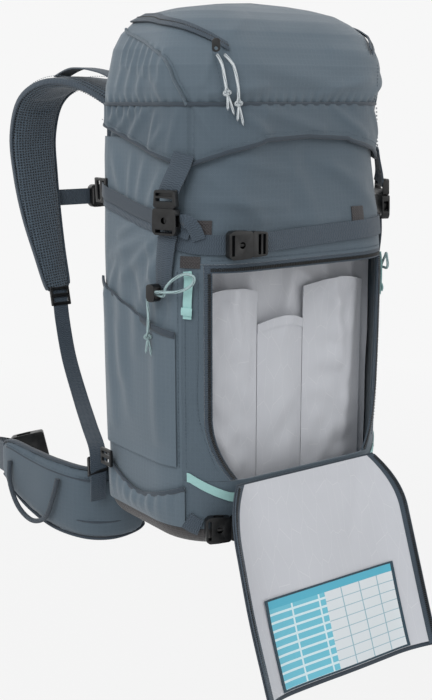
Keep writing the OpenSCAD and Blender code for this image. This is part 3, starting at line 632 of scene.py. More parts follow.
def repeatAlong(name, shape, edges, body):
    # copies of a block along a line of points, each standing on its outward normal
    corners, faces = blocks[shape]["block"]
    points, outs = edges
    runs = lengthsAlong(points)
    count = max(int(runs[-1] / blocks[shape]["pitch"]), 2)
    at = np.linspace(1, runs[-1] - 1, count)
    place, out = (np.stack([np.interp(at, runs, rows[:, k]) for k in range(3)], -1) for rows in (points, outs))
    way, out = directions(place), unitRows(out)
    across = np.cross(way, out)
    verts, polygons = [], []
    for i in range(count):
        verts += list(place[i] + corners @ np.stack([way[i], across[i], out[i]]))
        polygons += [tuple(len(corners) * i + q for q in face) for face in faces]
    mesh = bpy.data.meshes.new(name)
    mesh.from_pydata(((np.array(verts) + packOrigin) * mm).tolist(), [], polygons)
    piece = bpy.data.objects.new(name, mesh)
    bpy.context.collection.objects.link(piece)
    bpy.context.view_layer.objects.active = piece
    bpy.ops.object.mode_set(mode="EDIT")
    bpy.ops.mesh.select_all(action="SELECT")
    bpy.ops.mesh.normals_make_consistent(inside=False)
    bpy.ops.object.mode_set(mode="OBJECT")
    return finishPiece(piece, blocks[shape]["material"], body)


def stitch(name, surface, rows, off, body="root"):
    line = curveThrough([(*row, 0) for row in rows], 10)
    repeatAlong(name, "stitch", surfaceLine(surface, line[:, 0], line[:, 1], off), body)


def rowPoints(points):
    return [tuple(p) for p in (np.array(points) + packOrigin) * mm]


def tieKnot(name, centre, axisDown, cordRadius, size):
    # an overhand knot: one strand that passes three times round itself
    t = np.linspace(0, 2 * math.pi, 49)
    ring = np.stack([np.sin(t) + 2 * np.sin(2 * t), np.cos(t) - 2 * np.cos(2 * t), -1.1 * np.sin(3 * t)], -1)
    down = np.array(axisDown, float) / np.linalg.norm(axisDown)
    side = np.cross(down, [0.3, 1, 0.1])
    side /= np.linalg.norm(side)
    basis = np.stack([side, down, np.cross(side, down)])
    return layTube(name, np.array(centre) + ring * size / 6 @ basis, cordRadius, 8)


# ---- cords ----
# Points are station, height and distance from the wall, in millimetres
cordSize = {"diameter": 3.0, "knot": 7.4, "tail": 13}
toolCordRoute = [
    (-1.9, 276, 7), (-1.8, 275, 8), (-1.77, 284, 9), (-1.7, 293, 9), (-1.6, 299, 8), (-1.53, 296, 8),
    (-1.55, 288, 9), (-1.66, 281, 10), (-1.84, 279, 12), (-1.97, 274, 9), (-1.99, 252, 7), (-2, 232, 7)]
zipPullRoutes = {"Long": [(-1.36, 514, 5.2), (-1.33, 505, 5.4), (-1.31, 490, 6), (-1.3, 480, 6.5)],
                 "Short": [(-1.3, 514, 5.2), (-1.24, 503, 5.4), (-1.21, 485, 6), (-1.21, 470, 7)]}


def makeCord(name, route, surface, material, body, node, flip=1):
    diameter = cordSize["diameter"]
    rows = curveThrough(route, 8)
    line = surface(rows[:, 0], rows[:, 1], rows[:, 2]) * [flip, 1, 1]
    piece = layTube(name, line, diameter / 2, 14, endTaper=0.6)
    down = line[-1] - line[-3]
    down /= np.linalg.norm(down)
    knot = tieKnot(name + "Knot", line[-1] + down * 2.4, down, diameter * 0.36, cordSize["knot"])
    tails = []
    for k, lean in enumerate((-0.22, 0.26)):
        way = down + np.array([lean, -0.12, 0])
        start = line[-1] + down * 4.2
        runs = np.linspace(0, cordSize["tail"] + 3 * k, 8)
        tailLine = np.array([start + way * q + np.array([0, 0, -0.02 * q * q]) for q in runs])
        tails.append(layTube(f"{name}Tail{k + 1}", tailLine, diameter * 0.42, 10, endTaper=0.5))
    for part in (knot, *tails):
        finishPiece(part, material, body)
    finishPiece(piece, material, body, [node])
    rowPoints(line[:1])[0]
    lengthsAlong(line)[-1] * mm
    rowPoints(line)


for side, s in bothSides:
    makeCord("toolCord" + side, toolCordRoute, bagPoint, "cordMint", "root", "tool_cords", -s)
for length, route in zipPullRoutes.items():
    makeCord("zipPull" + length, route, lidPoint, "cordPale", "lid", "zip_pulls")
print("cords laid")

# ---- sewn body ----
seams = {"foot": 24.4, "corner": 1.66, "openLow": 78.4, "openHigh": 307.6, "top": 432}
# Creases are rows of: arc from the front centre, height, to arc, height, width, rise
sideCreases = [
    (-162, 335, -205, 262, 7, 3.6), (-172, 338, -238, 285, 6, 3.2), (-196, 330, -262, 306, 6, 3.2),
    (-205, 300, -215, 210, 10, 3.0), (-238, 310, -244, 180, 11, 3.2), (-182, 230, -176, 120, 9, 2.6),
    (-262, 420, -246, 372, 7, 2.8), (-205, 410, -215, 368, 6, 2.8), (-228, 415, -232, 366, 5, 2.4),
    (-160, 280, -176, 236, 6, -2.2), (-270, 260, -262, 120, 9, 2.8), (-190, 322, -178, 250, 5, 2.4),
    (-222, 292, -196, 236, 6, -2.0), (-250, 300, -272, 262, 5, 2.6), (-168, 300, -160, 262, 4, 2.0),
    (-215, 344, -248, 330, 5, 2.6), (-180, 395, -196, 362, 6, 2.6), (-248, 228, -230, 140, 9, 2.2)]
frontCreases = [
    (-120, 395, -60, 350, 8, 3.0), (-128, 372, -30, 362, 6, 2.6), (40, 400, 120, 350, 9, 2.6),
    (-20, 412, 10, 350, 11, 2.2), (-100, 412, -20, 396, 7, 2.4), (10, 410, 90, 384, 8, 2.4),
    (-60, 352, 40, 346, 6, 1.8)]


def rippled(size, height, seed):
    return lambda a, b, x, h: ripples(x, h, size, height, seed)


def sideRise(a, b, x, h):
    arc = np.abs(x)
    rise = creases(-arc, h, sideCreases) + ripples(arc, h, 95, 0.9, 4)
    seamDip = -1.3 * np.exp(-(np.minimum(np.abs(arc - 146.5), np.abs(arc - 295)) / 3.0) ** 2)
    return rise * fadeIn(a, b, 12, 14) + seamDip


def frontRise(a, b, x, h):
    return (creases(x, h, frontCreases) + ripples(x, h, 80, 0.7, 9)) * fadeIn(a, b, 14, 8)


def lowRise(a, b, x, h):
    return ripples(x, h, 60, 0.4, 8) * smoothStep(np.minimum(b, 1 - b) * 5)


def openEdge(h):
    # station of the safety compartment's edge
    return 1.46 - 0.24 * (1 - np.clip((h - 78) / 70, 0, 1)) ** 2


def openLine(low, high, inset):
    return lambda b: openEdge(mix(low, high, b)) - inset


def bootPlace(a, b):
    u, h = mix(-5, 5, a), seams["foot"] * np.clip((b - 0.25) / 0.75, 0, 1) ** 1.3
    points = bagPoint(u, h, 0.2 * np.sin(math.pi * b))
    return points * np.clip(b / 0.25, 0, 1)[:, None], np.stack([arcOf(u), h + 40 * b], -1)


def sewRound(name, counts, place, thickness, material, body, node):
    # cloth that runs right round, its ends merged
    piece = layGrid(name, *counts, place)
    mergeSeam(piece, fill=False)
    applyModifier(piece, "SOLIDIFY", thickness=thickness * mm, offset=-1)
    return finishPiece(piece, material, body, [node])


acrossFront = fromTo(-seams["corner"], seams["corner"])
for side, s in bothSides:
    # the left side panel wears the paler cloth: painted light, as if more lit than the right
    sew("sidePanel" + side, (74, 110), onBag(strip(s, 1.664, 3.6), upFrom(seams["foot"], seams["top"]), sideRise),
        2, "shellPaintedLit" if s < 0 else "shell", "root", ["side_panel_" + side.lower()], inner=True)
sew("frontUpper", (110, 42), onBag(acrossFront, upFrom(308, seams["top"]), frontRise),
    2, "shell", "root", ["front_upper_panel"], inner=True)
for side, s in bothSides:
    low, high = seams["openLow"], seams["openHigh"]
    sew("frontBand" + side, (12, 70),
        onBag(strip(s, openLine(low, high, 0), seams["corner"]), upFrom(low, high), rippled(60, 0.35, 6)),
        2, "shell", "root", ["front_bands"], inner=True)
sew("frontLower", (110, 20), onBag(acrossFront, upFrom(seams["foot"], 78), lowRise),
    2, "shell", "root", ["front_lower_panel"], inner=True)
sewRound("baseBoot", (150, 28), bootPlace, 2, "boot", "root", "base_boot")
sew("backPanel", (90, 90), onBag(fromTo(3.61, 6.39), upFrom(seams["foot"], 463), rippled(90, 0.5, 3)),
    5, "dark", "root", ["back_panel"], inner=True)
print("sewn body made")

for side, s in bothSides:
    for k, u in enumerate((1.63, 1.70)):
        stitch(f"sideSeamStitch{side}{k + 1}", bagPoint, [(s * u, h) for h in (92, 180, 270, 300)], 0.4)
    stitch("bandStitch" + side, bagPoint, [(s * (openEdge(h) + 0.05), h) for h in (92, 150, 220, 300)], 0.4)
stitch("frontSeamStitch", bagPoint, [(u, 312) for u in (-1.4, -0.6, 0, 0.6, 1.4)], 0.5)

# ---- safety compartment ----
compartment = {"wall": -46.6, "sleeve": -53.0, "edges": (-118, -34, 30, 118), "tops": (268, 232, 268), "swell": 9,
               "half": ([345, 404], [134, 126])}
dividerFolds = [
    (-110, 300, -96, 150, 8, 6), (-78, 302, -60, 210, 8, 5), (-40, 300, -52, 160, 7, 4.5), (20, 300, 8, 236, 8, 6),
    (60, 304, 84, 180, 9, 6), (104, 300, 92, 90, 8, 6), (-100, 130, -60, 60, 8, 5), (30, 286, 70, 250, 6, 4)]


def dividerPlace(a, b):
    z = mix(27, 404, b)
    half = np.interp(z, *compartment["half"])
    x = mix(-half, half, a)
    fold = creases(x, z, dividerFolds) * fadeIn(a, b, 9, 9)
    y = compartment["wall"] - fold + ripples(x, z, 70, 1.0, 12)
    return np.stack([x, y, z], -1), np.stack([x, z], -1)


sew("compartmentDivider", (80, 100), dividerPlace, 1.6, "lining", "root", ["compartment_divider"])
for k, top in enumerate(compartment["tops"]):
    low, high = compartment["edges"][k] + 0.4, compartment["edges"][k + 1] - 0.4

    def sleevePlace(a, b):
        bow = np.sin(math.pi * a)
        x, z = mix(low, high, a), mix(30, top, b) + 8 * bow * b
        swell = compartment["swell"] * bow * (0.35 + 0.65 * b)
        fold = creases(x, z, dividerFolds) * 0.8 * bow
        y = compartment["sleeve"] - swell - fold - ripples(x, z, 40, 1.4, 20 + k) * bow
        return np.stack([x, y, z], -1), np.stack([x, z], -1)

    def hemPlace(a, b):
        points, flat = sleevePlace(a, 0.955 + 0.05 * b)
        return points + [0, -1.1, 0], flat

    sew(f"toolSleeve{k + 1}", (30, 60), sleevePlace, 1, "lining", "root", ["tool_sleeves"])
    sew(f"sleeveHem{k + 1}", (30, 3), hemPlace, 1, "lining", "root")


def collarPlace(a, b):
    u, h = mix(-5, 5, a), mix(408, 457, b)
    drawn = -5.4 - 8 * np.clip((h - 432) / 25, 0, 1) ** 1.4
    gather = 1.0 * np.sin(arcOf(u) / 5.5) * b
    return bagPoint(u, h, drawn + gather), np.stack([arcOf(u), h], -1)


# the collar wears the paler cloth: painted light
piece = sewRound("snowCollar", (320, 16), collarPlace, 1, "shellPaintedLit", "root", "snow_collar")


for side, s in bothSides:
    sew("openingTape" + side, (4, 60),
        onBag(strip(s, openLine(79, 299, 0.077), openLine(79, 299, 0.004)), upFrom(79, 299), evenly(-0.3)),
        1.6, "webbing", "root", ["opening_zip"])
    h = np.linspace(80, 299, 60)
    repeatAlong("openingTeeth" + side, "tooth", surfaceLine(bagPoint, s * (openEdge(h) - 0.05), h, 0.4), "root")
sew("openingTapeTop", (90, 4), onBag(fromTo(-1.456, 1.456), upFrom(299, seams["openHigh"]), evenly(-0.3)),
    1.6, "webbing", "root", ["opening_zip"])
repeatAlong("openingTeethTop", "tooth", surfaceLine(bagPoint, np.linspace(-1.4, 1.4, 120), 302.5, 0.4), "root")
print("compartment made")

# ---- lid ----
piping = {"radius": 1.5, "rows": [
    (3.1, 543), (2.786, 537), (2.306, 528), (1.942, 517), (1.794, 505), (1.732, 489), (1.655, 473), (1.63, 465)]}
crownCreases = [
    # the pleats that the piping gathers, then the slacker folds of the front and the far side
    *[(-250 + 13.5 * k, 534 - 2.6 * k, -254 + 13.5 * k, 508 - 3.4 * k, 3.0, 2.6) for k in range(7)],
    (-205, 500, -214, 474, 6, 2.6), (-228, 505, -236, 476, 6, 2.4), (-250, 506, -256, 480, 6, 2.2),
    (-180, 492, -172, 470, 5, 2.2), (-120, 476, -60, 482, 6, 2.6), (-60, 500, 40, 486, 9, 3.0),
    (20, 476, 90, 492, 7, 2.6), (100, 474, 150, 500, 6, 2.6), (-124, 486, -116, 516, 4, 2.0),
    (150, 520, 190, 474, 5, 2.6), (200, 520, 214, 474, 5, 2.4), (-30, 540, 60, 548, 11, 2.6),
    (-100, 530, -60, 556, 7, 2.4), (40, 520, 130, 512, 8, 2.4), (-112, 522, -106, 468, 2.2, -2.2)]


def crownPlace(a, b):
    u, seam = mix(-5, 5, a), lid["seam"]
    z = seam - lid["under"] + lid["rise"] * np.clip(b / lid["brim"], 0, 1) ** 0.9
    x = arcOf(u)
    rise = creases(x, z, crownCreases) + ripples(x, z, 70, 0.8, 31) * smoothStep(np.minimum(b * 6, (1 - b) * 5))
    gathers = 0.9 * np.sin(x / 2.0) * np.exp(-((z - seam - 2) / 7) ** 2)
    fade = smoothStep(b * 14)
    points = lidPoint(u, np.maximum(z, seam), rise * fade + gathers - 1.0 * (1 - fade))
    points[:, 2] += np.minimum(z - seam, 0)
    k = np.clip((b - lid["brim"]) / (1 - lid["brim"]), 0, 1)[:, None]
    return points * (1 - k) + np.array(lid["middle"]) * k, np.stack([x, z + 60 * k[:, 0]], -1)


# the crown wears the paler cloth: painted light on the lid's top
sewRound("lidCrown", (420, 120), crownPlace, 1.5, "shellPaintedLit", "lid", "lid_crown")
for side, s in bothSides:
    rows = curveThrough([(*row, 0) for row in piping["rows"]], 10)[:, :2]
    line = lidPoint(s * rows[:, 0], rows[:, 1], 1.4)
    # the piping wears the paler cloth too: painted light
    finishPiece(layTube("lidPiping" + side, line, piping["radius"], 10), "shellPaintedLit", "lid")
    stitch("lidPipingStitch" + side, lidPoint, (rows[::8] - [0.05, 0]) * [s, 1], 1.6, "lid")
    pocket = [(1.39 * s, 518), (1.35 * s, 494), (1.33 * s, 480), (1.36 * s, 470)]
    stitch("lidPocketStitch" + side, lidPoint, pocket, 1.2, "lid")
u = np.linspace(-5, 5, 260)
bindEdge("lidSeam", surfaceLine(lidPoint, u, lid["seam"], 0.6), 3.6, "lid", 3.0)

hemTable = ([0, 0.9, 1.3, 1.6, 1.76, 2.3, 3.05], [432, 429, 418, 406, 408, 424, 444])
skirtCreases = [
    (-196, 462, -226, 428, 6, 3.4), (-218, 462, -250, 434, 6, 3.2), (-172, 440, -196, 412, 5, 2.6),
    (-180, 458, -190, 424, 4, 2.4), (-100, 462, -60, 436, 6, 2.8), (-60, 458, 20, 440, 7, 2.8),
    (40, 462, 90, 434, 6, 2.6), (110, 460, 150, 420, 6, 2.8), (-132, 460, -112, 424, 5, 2.4),
    (-240, 462, -268, 440, 6, 2.6), (190, 460, 230, 428, 6, 2.8), (-152, 462, -162, 420, 4, 2.2)]


def hemOf(u):
    return np.interp(np.abs(u), *hemTable)


def skirtRise(a, b, x, z):
    seam = -1.6 * np.exp(-((np.abs(x) - 139.5) / 2.0) ** 2)
    side = np.exp(-((np.abs(x) - 235) / 38) ** 4)
    seam += 1.1 * np.sin(x / 1.7) * np.exp(-((466 - z) / 13) ** 2) * side
    return 5.5 + (creases(x, z, skirtCreases) + ripples(x, z, 60, 0.8, 41)) * smoothStep(
        np.minimum(b, 1 - b) * 6) + seam + 0.5 * np.sin(x / 2.8) * np.exp(-((1 - b) * 9) ** 2)


def skirtHeight(a, b):
    return mix(hemOf(mix(-3.02, 3.02, a)), lid["seam"], b)


sew("lidSkirt", (420, 30), onBag(fromTo(-3.02, 3.02), skirtHeight, skirtRise),
    2, "shell", "lid", ["lid_skirt"], inner=True)
u = np.linspace(-3.02, 3.02, 180)
bindEdge("skirtHem", surfaceLine(bagPoint, u, hemOf(u) + 1.5, 4.8), 4.5, "lid", 3.4)
for side, s in bothSides:
    for k, x in enumerate((1.575, 1.625)):
        stitch(f"skirtSeamStitch{side}{k + 1}", bagPoint, [(x * s, h) for h in (412, 438, 462)], 7.9, "lid")
u = np.linspace(-3.0, 3.0, 60)
stitch("skirtHemStitch", bagPoint, np.stack([u, hemOf(u) + 7.5], -1), 8.0, "lid")
lidZip = {"width": 8, "rise": 2.9, "route": [
    (1.25, 517), (1.45, 530), (1.75, 541), (2.3, 548), (3, 550), (4, 551), (5, 551)]}
zipLine = curveThrough(lidZip["route"], 8)
for side, s in bothSides:
    def place(a, b):
        k = np.rint((1 - a if s > 0 else a) * (len(zipLine) - 1)).astype(int)
        u, z = s * zipLine[k, 0], zipLine[k, 1] + lidZip["width"] * b
        return lidPoint(u, z, lidZip["rise"]), np.stack([lidZip["width"] * b, arcOf(u)], -1)
    sew("lidZipTape" + side, (len(zipLine) - 1, 4), place, 1.2, "webbing", "lid", ["lid_zip"])
    middle = zipLine[:, 1] + lidZip["width"] / 2
    repeatAlong("lidZipTeeth" + side, "tooth",
                surfaceLine(lidPoint, s * zipLine[:, 0], middle, lidZip["rise"] + 0.4), "lid")
print("lid made")

# ---- flap, hanging open ----
def flapEdge(h):
    return openEdge(h) - 0.03


def flapStation(low, high, inset):
    return lambda a, b: mix(-1, 1, a) * (flapEdge(mix(low, high, b)) - inset)


def flapSag(a, b, x, h):
    return ripples(x, h, 110, 1.2, 51) * smoothStep(b * 3) + creases(x, h, [
        (-80, 110, -30, 180, 12, 1.6), (70, 100, 40, 170, 12, 1.4), (-20, 96, 60, 104, 9, 1.2)])


def onFlap(station, low, high, off):
    shell = onBag(station, upFrom(low, high), lambda a, b, x, h: off + flapSag(a, b, x, h))

    def place(a, b):
        points, flat = shell(a, b)
        return openFlap(points), flat
    return place


card = {"low": 204, "high": 300, "half": 88}
flapSheet = sew("flapOuter", (80, 80), onFlap(flapStation(80, 306, 0), 80, 306, 5.8),
                1.6, "dark", "flap", ["flap_panel"])
liningSheet = sew("flapLining", (80, 80), onFlap(flapStation(82, 300, 0.075), 82, 301, 3.3),
                  1.2, "lining", "flap", ["flap_lining"])
for side, s in bothSides:
    tape = strip(s, openLine(82, 304, 0.11), openLine(82, 304, 0.03))
    sew("flapTape" + side, (4, 60), onFlap(tape, 82, 304, 3.4),
                         1.6, "webbing", "flap", ["flap_zip"])
    h = np.linspace(84, 303, 60)
    u = s * (flapEdge(h) - 0.022)
    low, high = openFlap(bagPoint(u, h, 1.7)), openFlap(bagPoint(u, h, 0.7))
    repeatAlong("flapTeeth" + side, "tooth", (low, high - low), "flap")
edge = stationOf(card["half"])
cardSheet = sew("infoCard", (60, 30), onFlap(fromTo(-edge, edge), card["low"], card["high"], 1.4),
                0.6, "card", "flap", ["info_card"])
print("flap made")

# ---- pockets: k runs from a pocket's front edge to its back edge ----
def sideHem(k):
    return mix(236, 280, k ** 1.2)


def lowHem(k):
    return 70 - 22 * np.sin(math.pi * np.clip(k * 1.15, 0, 1)) + 4 * k


def lowPuff(k, b):
    return 2.8 + 5 * np.sin(math.pi * k) * np.sin(math.pi * 0.9 * b)


def sideRisePocket(a, b, x, h):
    rise = creases(-np.abs(x), h, sideCreases) + ripples(x, h, 70, 0.8, 61)
    return 2.6 + rise * smoothStep(np.minimum(a, 1 - a) * 10) * smoothStep(b * 8)


for side, s in bothSides:
    # the left pockets wear the paler cloth: painted light, as on the left side panel
    look = "shellPaintedLit" if s < 0 else "shell"

    def along(a):
        return 1 - a if s < 0 else a

    def lowRisePocket(a, b, x, h):
        gathers = 0.7 * np.sin(x / 2.4) + 0.5 * np.sin(x / 3.9 + 1)
        return lowPuff(along(a), b) + gathers * smoothStep(b * 1.4) * smoothStep(np.minimum(a, 1 - a) * 10)

    sew("sidePocket" + side, (70, 60),
        onBag(strip(s, 1.72, 3.34), lambda a, b: mix(92, sideHem(along(a)), b), sideRisePocket),
        1.4, look, "root", ["side_pocket_" + side.lower()])
    k = np.linspace(0, 1, 70)
    bindEdge("sidePocketHem" + side, surfaceLine(bagPoint, s * mix(1.72, 3.34, k), sideHem(k) - 2, 2.9),
             7, "root", 2.6)
    sew("lowerPocket" + side, (110, 24),
        onBag(strip(s, 1.64, 3.3), lambda a, b: mix(25, lowHem(along(a)), b), lowRisePocket),
        1.4, look, "root", ["lower_pocket_" + side.lower()])
    line, outs = surfaceLine(bagPoint, s * mix(1.64, 3.3, k), lowHem(k) - 1, 0)
    bindEdge("lowerPocketHem" + side, (line + outs * (lowPuff(k, 1) - 0.4)[:, None], outs), 5, "root", 2.6)
print("pockets made")

# ---- webbing ----
webSize = {"width": 20, "thickness": 1.6}


def strapOnBag(name, route, body="root", nodes=(), width=webSize["width"], material="webbing"):
    # route: station, height, distance of the inner face from the wall
    rows = curveThrough(route, 8)
    flat = np.stack([arcOf(rows[:, 0]), rows[:, 1]], -1)
    way = directions(flat)
    across = np.stack([way[:, 1], -way[:, 0]], -1)
    runs = lengthsAlong(flat)
    count = len(rows) - 1

    def place(a, b):
        k = np.rint(b * count).astype(int)
        spot = flat[k] + across[k] * ((a - 0.5) * width)[:, None]
        edge = 0.25 * np.clip(np.abs(a - 0.5) * 12 - 5, 0, 1)
        return (bagPoint(stationOf(spot[:, 0]), spot[:, 1], rows[k, 2] + webSize["thickness"] - edge),
                np.stack([a * width, runs[k]], -1))

    return sew(name, (8, count), place, webSize["thickness"], material, body, nodes)


def strapInAir(name, route, across, body, nodes, width=webSize["width"]):
    rows = curveThrough(route, 8)
    way = directions(rows)
    wide = squareTo(way, across)
    runs = lengthsAlong(rows)
    lift = np.cross(wide, way) * webSize["thickness"] / 2
    count = len(rows) - 1

    def place(a, b):
        k = np.rint(b * count).astype(int)
        return rows[k] + lift[k] + wide[k] * ((a - 0.5) * width)[:, None], np.stack([a * width, runs[k]], -1)

    return sew(name, (8, count), place, webSize["thickness"], "webbing", body, nodes)


for side, s in bothSides:
    key = side.lower()
    for name, body, nodes, route in (
            ("lidLowerWeb", "root", ["lid_socket_" + key],
             [(1.84, 282, 1), (1.82, 300, 3.2), (1.79, 322, 6), (1.77, 338, 6.6)]),
            ("lidStrapWeb", "lid_strap_" + key, ["lid_strap_" + key],
             [(1.768, 377, 11.6), (1.73, 388, 12), (1.68, 405, 9.6), (1.65, 418, 7.8)]),
            ("sideStrapWeb", "root", ["side_strap_" + key],
             [(1.9, 347, 0.6), (2.3, 352, 0.9), (2.8, 362, 0.9), (3.3, 371, 0.8)])):
        strapOnBag(name + side, np.array(route) * [s, 1, 1], body, nodes)
    sleeve = np.array([(1.92, 353, 2.3), (2.3, 358, 2.5), (2.8, 368, 2.5), (3.3, 377, 2.3)])
    strapOnBag("sideStrapSleeve" + side, sleeve * [s, 1, 1], width=14, material="dark")
strapOnBag("frontStrapNear", [
    (-1.88, 341, 1.2), (-1.72, 333, 1.2), (-1.56, 329, 1.2), (-1.42, 328, 1.2), (-1.27, 328, 3)],
    nodes=["front_strap"])
# the strap's loose end, curled up above it, and the patches that carry the straps
strapOnBag("frontStrapCurl", [
    (-1.5, 333, 3.2), (-1.54, 345, 7), (-1.6, 352, 10), (-1.66, 350, 7), (-1.65, 342, 4.2), (-1.58, 339, 4.6)],
    width=13)
for name, left, right, foot, top, off in (
        ("strapPatchUpper", -1.53, -1.4, 336, 352, 1.4), ("strapPatchLower", -1.67, -1.49, 304, 316, 1.2),
        ("strapPatchFar", 0.92, 1.1, 338, 358, 1.4)):
    sew(name, (12, 10), onBag(fromTo(left, right), upFrom(foot, top), evenly(off)), 1.2, "boot", "root")
strapOnBag("frontStrapFar", [(-0.78, 328, 1.2), (0, 330.5, 1.2), (0.8, 332.5, 1.2), (1.6, 334, 1.2)],
           nodes=["front_strap"])
strapOnBag("baseStrapNear", [(-1.63, 34, 1.4), (-1.56, 29, 1.4), (-1.5, 26, 1.4)], nodes=["base_strap"])
strapOnBag("baseStrapFar", [(u, 26, 1.4) for u in (-0.92, 0, 0.8, 1.6)], nodes=["base_strap"])


def stripeHeight(a, b):
    u = mix(-1.62, 1.62, a)
    return 60 + 22 * np.clip((np.abs(u) - 1.2) / 0.4, 0, 1) ** 1.2 + mix(-5, 5, b)


sew("mintStripe", (120, 4), onBag(fromTo(-1.62, 1.62), stripeHeight, evenly(1.6)),
    0.8, "mint", "root", ["mint_trim"])
for side, s in bothSides:
    tab = np.array([(1.605, 252, 0.6), (1.6, 270, 1.6), (1.59, 290, 1.2), (1.6, 301, 0.4)])
    strapOnBag("mintTab" + side, tab * [s, 1, 1], nodes=["mint_trim"], width=9, material="mint")
    knot = np.array([(1.606, 256, 2.6), (1.604, 260, 3.4), (1.602, 264, 2.6)])
    strapOnBag("mintKnot" + side, knot * [s, 1, 1], width=11, material="mint")
print("webbing made")


# ---- moulded pieces: bevelled copies of the frame's own solids ----
def copyMoulded(name, node, body, cut=None, bevel=0.5):
    # cut: a point and a direction, in the pack's millimetres; what lies beyond the plane is webbing and goes
    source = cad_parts[node]
    piece = source.copy()
    piece.data = source.data.copy()
    piece.name = piece.data.name = name
    for key in list(piece.keys()):
        del piece[key]
    piece.parent = None
    piece.hide_render = piece.hide_viewport = False
    bpy.context.collection.objects.link(piece)
    bpy.ops.object.select_all(action="DESELECT")
    bpy.context.view_layer.objects.active = piece
    piece.select_set(True)
    bpy.ops.object.mode_set(mode="EDIT")
    bpy.ops.mesh.select_all(action="SELECT")
    bpy.ops.mesh.remove_doubles(threshold=0.00001)
    bpy.ops.mesh.dissolve_limited(angle_limit=math.radians(1))
    if cut:
        bpy.ops.mesh.select_all(action="SELECT")
        bpy.ops.mesh.bisect(plane_co=rowPoints([cut[0]])[0], plane_no=cut[1], use_fill=True, clear_outer=True)
    bpy.ops.object.mode_set(mode="OBJECT")
    applyModifier(piece, "BEVEL", width=bevel * mm, segments=3, limit_method="ANGLE", angle_limit=math.radians(30))
    bpy.ops.object.shade_smooth_by_angle(angle=math.radians(35))
    return finishPiece(piece, "black", body, [node])


for name, node in (("frontSocket", "front_socket"), ("frontPlug", "front_plug"), ("baseBuckle", "base_buckle")):
    copyMoulded(name, node, "front_plug" if node == "front_plug" else "root")
for side, s in bothSides:
    key = side.lower()
    copyMoulded("lidSocket" + side, "lid_socket_" + key, "root", ((0, 0, 337.2), (0, 0, -1)))
    copyMoulded("lidPlug" + side, "lid_strap_" + key, "lid_strap_" + key, ((0, 0, 382.4), (0, 0, 1)))
    copyMoulded("lidProngs" + side, "lid_prongs_" + key, "lid_strap_" + key)
copyMoulded("cordLocks", "cord_locks", "root")
copyMoulded("zipSlider", "zip_slider", "lid", bevel=0.6)
copyMoulded("sternumProngs", "sternum_prongs", "shoulder_right")
print("moulded pieces made")

# ---- harness ----
lockShape = {"across": [-13.5, -10.4, 10.4, 13.5], "along": [-12, -7.6, -1.6, 3.4, 7.6, 12], "slots": (4, 10),
             "thickness": 4.0, "round": 1.1}


def makeLock():
    # ladder lock: a plate with two slots, rounded all over
    bpy.ops.mesh.primitive_grid_add(x_subdivisions=3, y_subdivisions=5, size=1)
    lock = bpy.context.object
    places = [(x, y) for y in lockShape["along"] for x in lockShape["across"]]
    for vertex, (x, y) in zip(lock.data.vertices, places):
        vertex.co = (x * mm, y * mm, 0)
    data = bmesh.new()
    data.from_mesh(lock.data)
    data.faces.ensure_lookup_table()
    bmesh.ops.delete(data, geom=[data.faces[k] for k in lockShape["slots"]], context="FACES_ONLY")
    data.to_mesh(lock.data)
    data.free()
    applyModifier(lock, "SOLIDIFY", thickness=lockShape["thickness"] * mm, offset=0)
    applyModifier(lock, "BEVEL", width=lockShape["round"] * mm, segments=3, limit_method="ANGLE")
    bpy.ops.object.shade_smooth_by_angle(angle=math.radians(40))
    return lock


def placeLock(name, centre, across, along, body, size=1.0):
    # a copy with its own mesh, at a place and with its width and length along two directions
    copy = lockMaster.copy()
    copy.data = lockMaster.data.copy()
    copy.name = copy.data.name = name
    bpy.context.collection.objects.link(copy)
    x, y = Vector(across).normalized(), Vector(along).normalized()
    z = x.cross(y)
    turn = Matrix((x * size, y * size, z)).transposed().to_4x4()
    copy.data.transform(Matrix.Translation(Vector((np.array(centre) + packOrigin) * mm)) @ turn)
    return finishPiece(copy, "black", body)


lockMaster = makeLock()
# Rows of x, y, z, width, thickness, for the left side
shoulderRoute = [
    (-62, 104, 428, 54, 9), (-72, 128, 462, 62, 13), (-90, 178, 487, 62, 13), (-106, 228, 490, 62, 13),
    (-116, 272, 470, 62, 13), (-117, 295, 428, 62, 13), (-113, 299, 378, 60, 13), (-108, 296, 328, 54, 13),
    (-103, 287, 280, 44, 12), (-99.5, 278, 244, 37, 10), (-98.5, 275.5, 236, 30, 8), (-98, 274.5, 232, 14, 5)]
shoulderWeb = [
    (-98, 276, 238), (-98, 273, 227), (-101, 262, 196), (-105, 240, 152), (-115, 196, 112), (-129, 150, 88),
    (-141, 112, 70), (-150, 95, 44), (-151, 94.6, 15)]
lifterRoute = [(-104, 98.5, 490), (-108, 134, 501), (-111, 186, 506), (-108, 234, 497.6)]
puffing = {"voxel": 4.0, "pressure": 4.0, "steps": 20, "quality": 6, "cap": 2.2, "shrink": 1.0}


def ovalSweep(name, rows, across, count, trim=0.0):
    # closed pad through rows of x, y, z, width, thickness
    way = directions(rows[:, :3])
    wide = squareTo(way, across)
    lift = np.cross(way, wide)
    runs = lengthsAlong(rows[:, :3])
    last = len(rows) - 1

    def place(a, b):
        k = np.rint(b * last).astype(int)
        x, y = (q * (rows[k, size] / 2 - trim) for q, size in zip(roundedRing(a), (3, 4)))
        return rows[k, :3] + wide[k] * x[:, None] + lift[k] * y[:, None], np.stack([x, runs[k]], -1)

    piece = layGrid(name, count, last, place, smooth=80)
    mergeSeam(piece)
    return piece, wide, lift


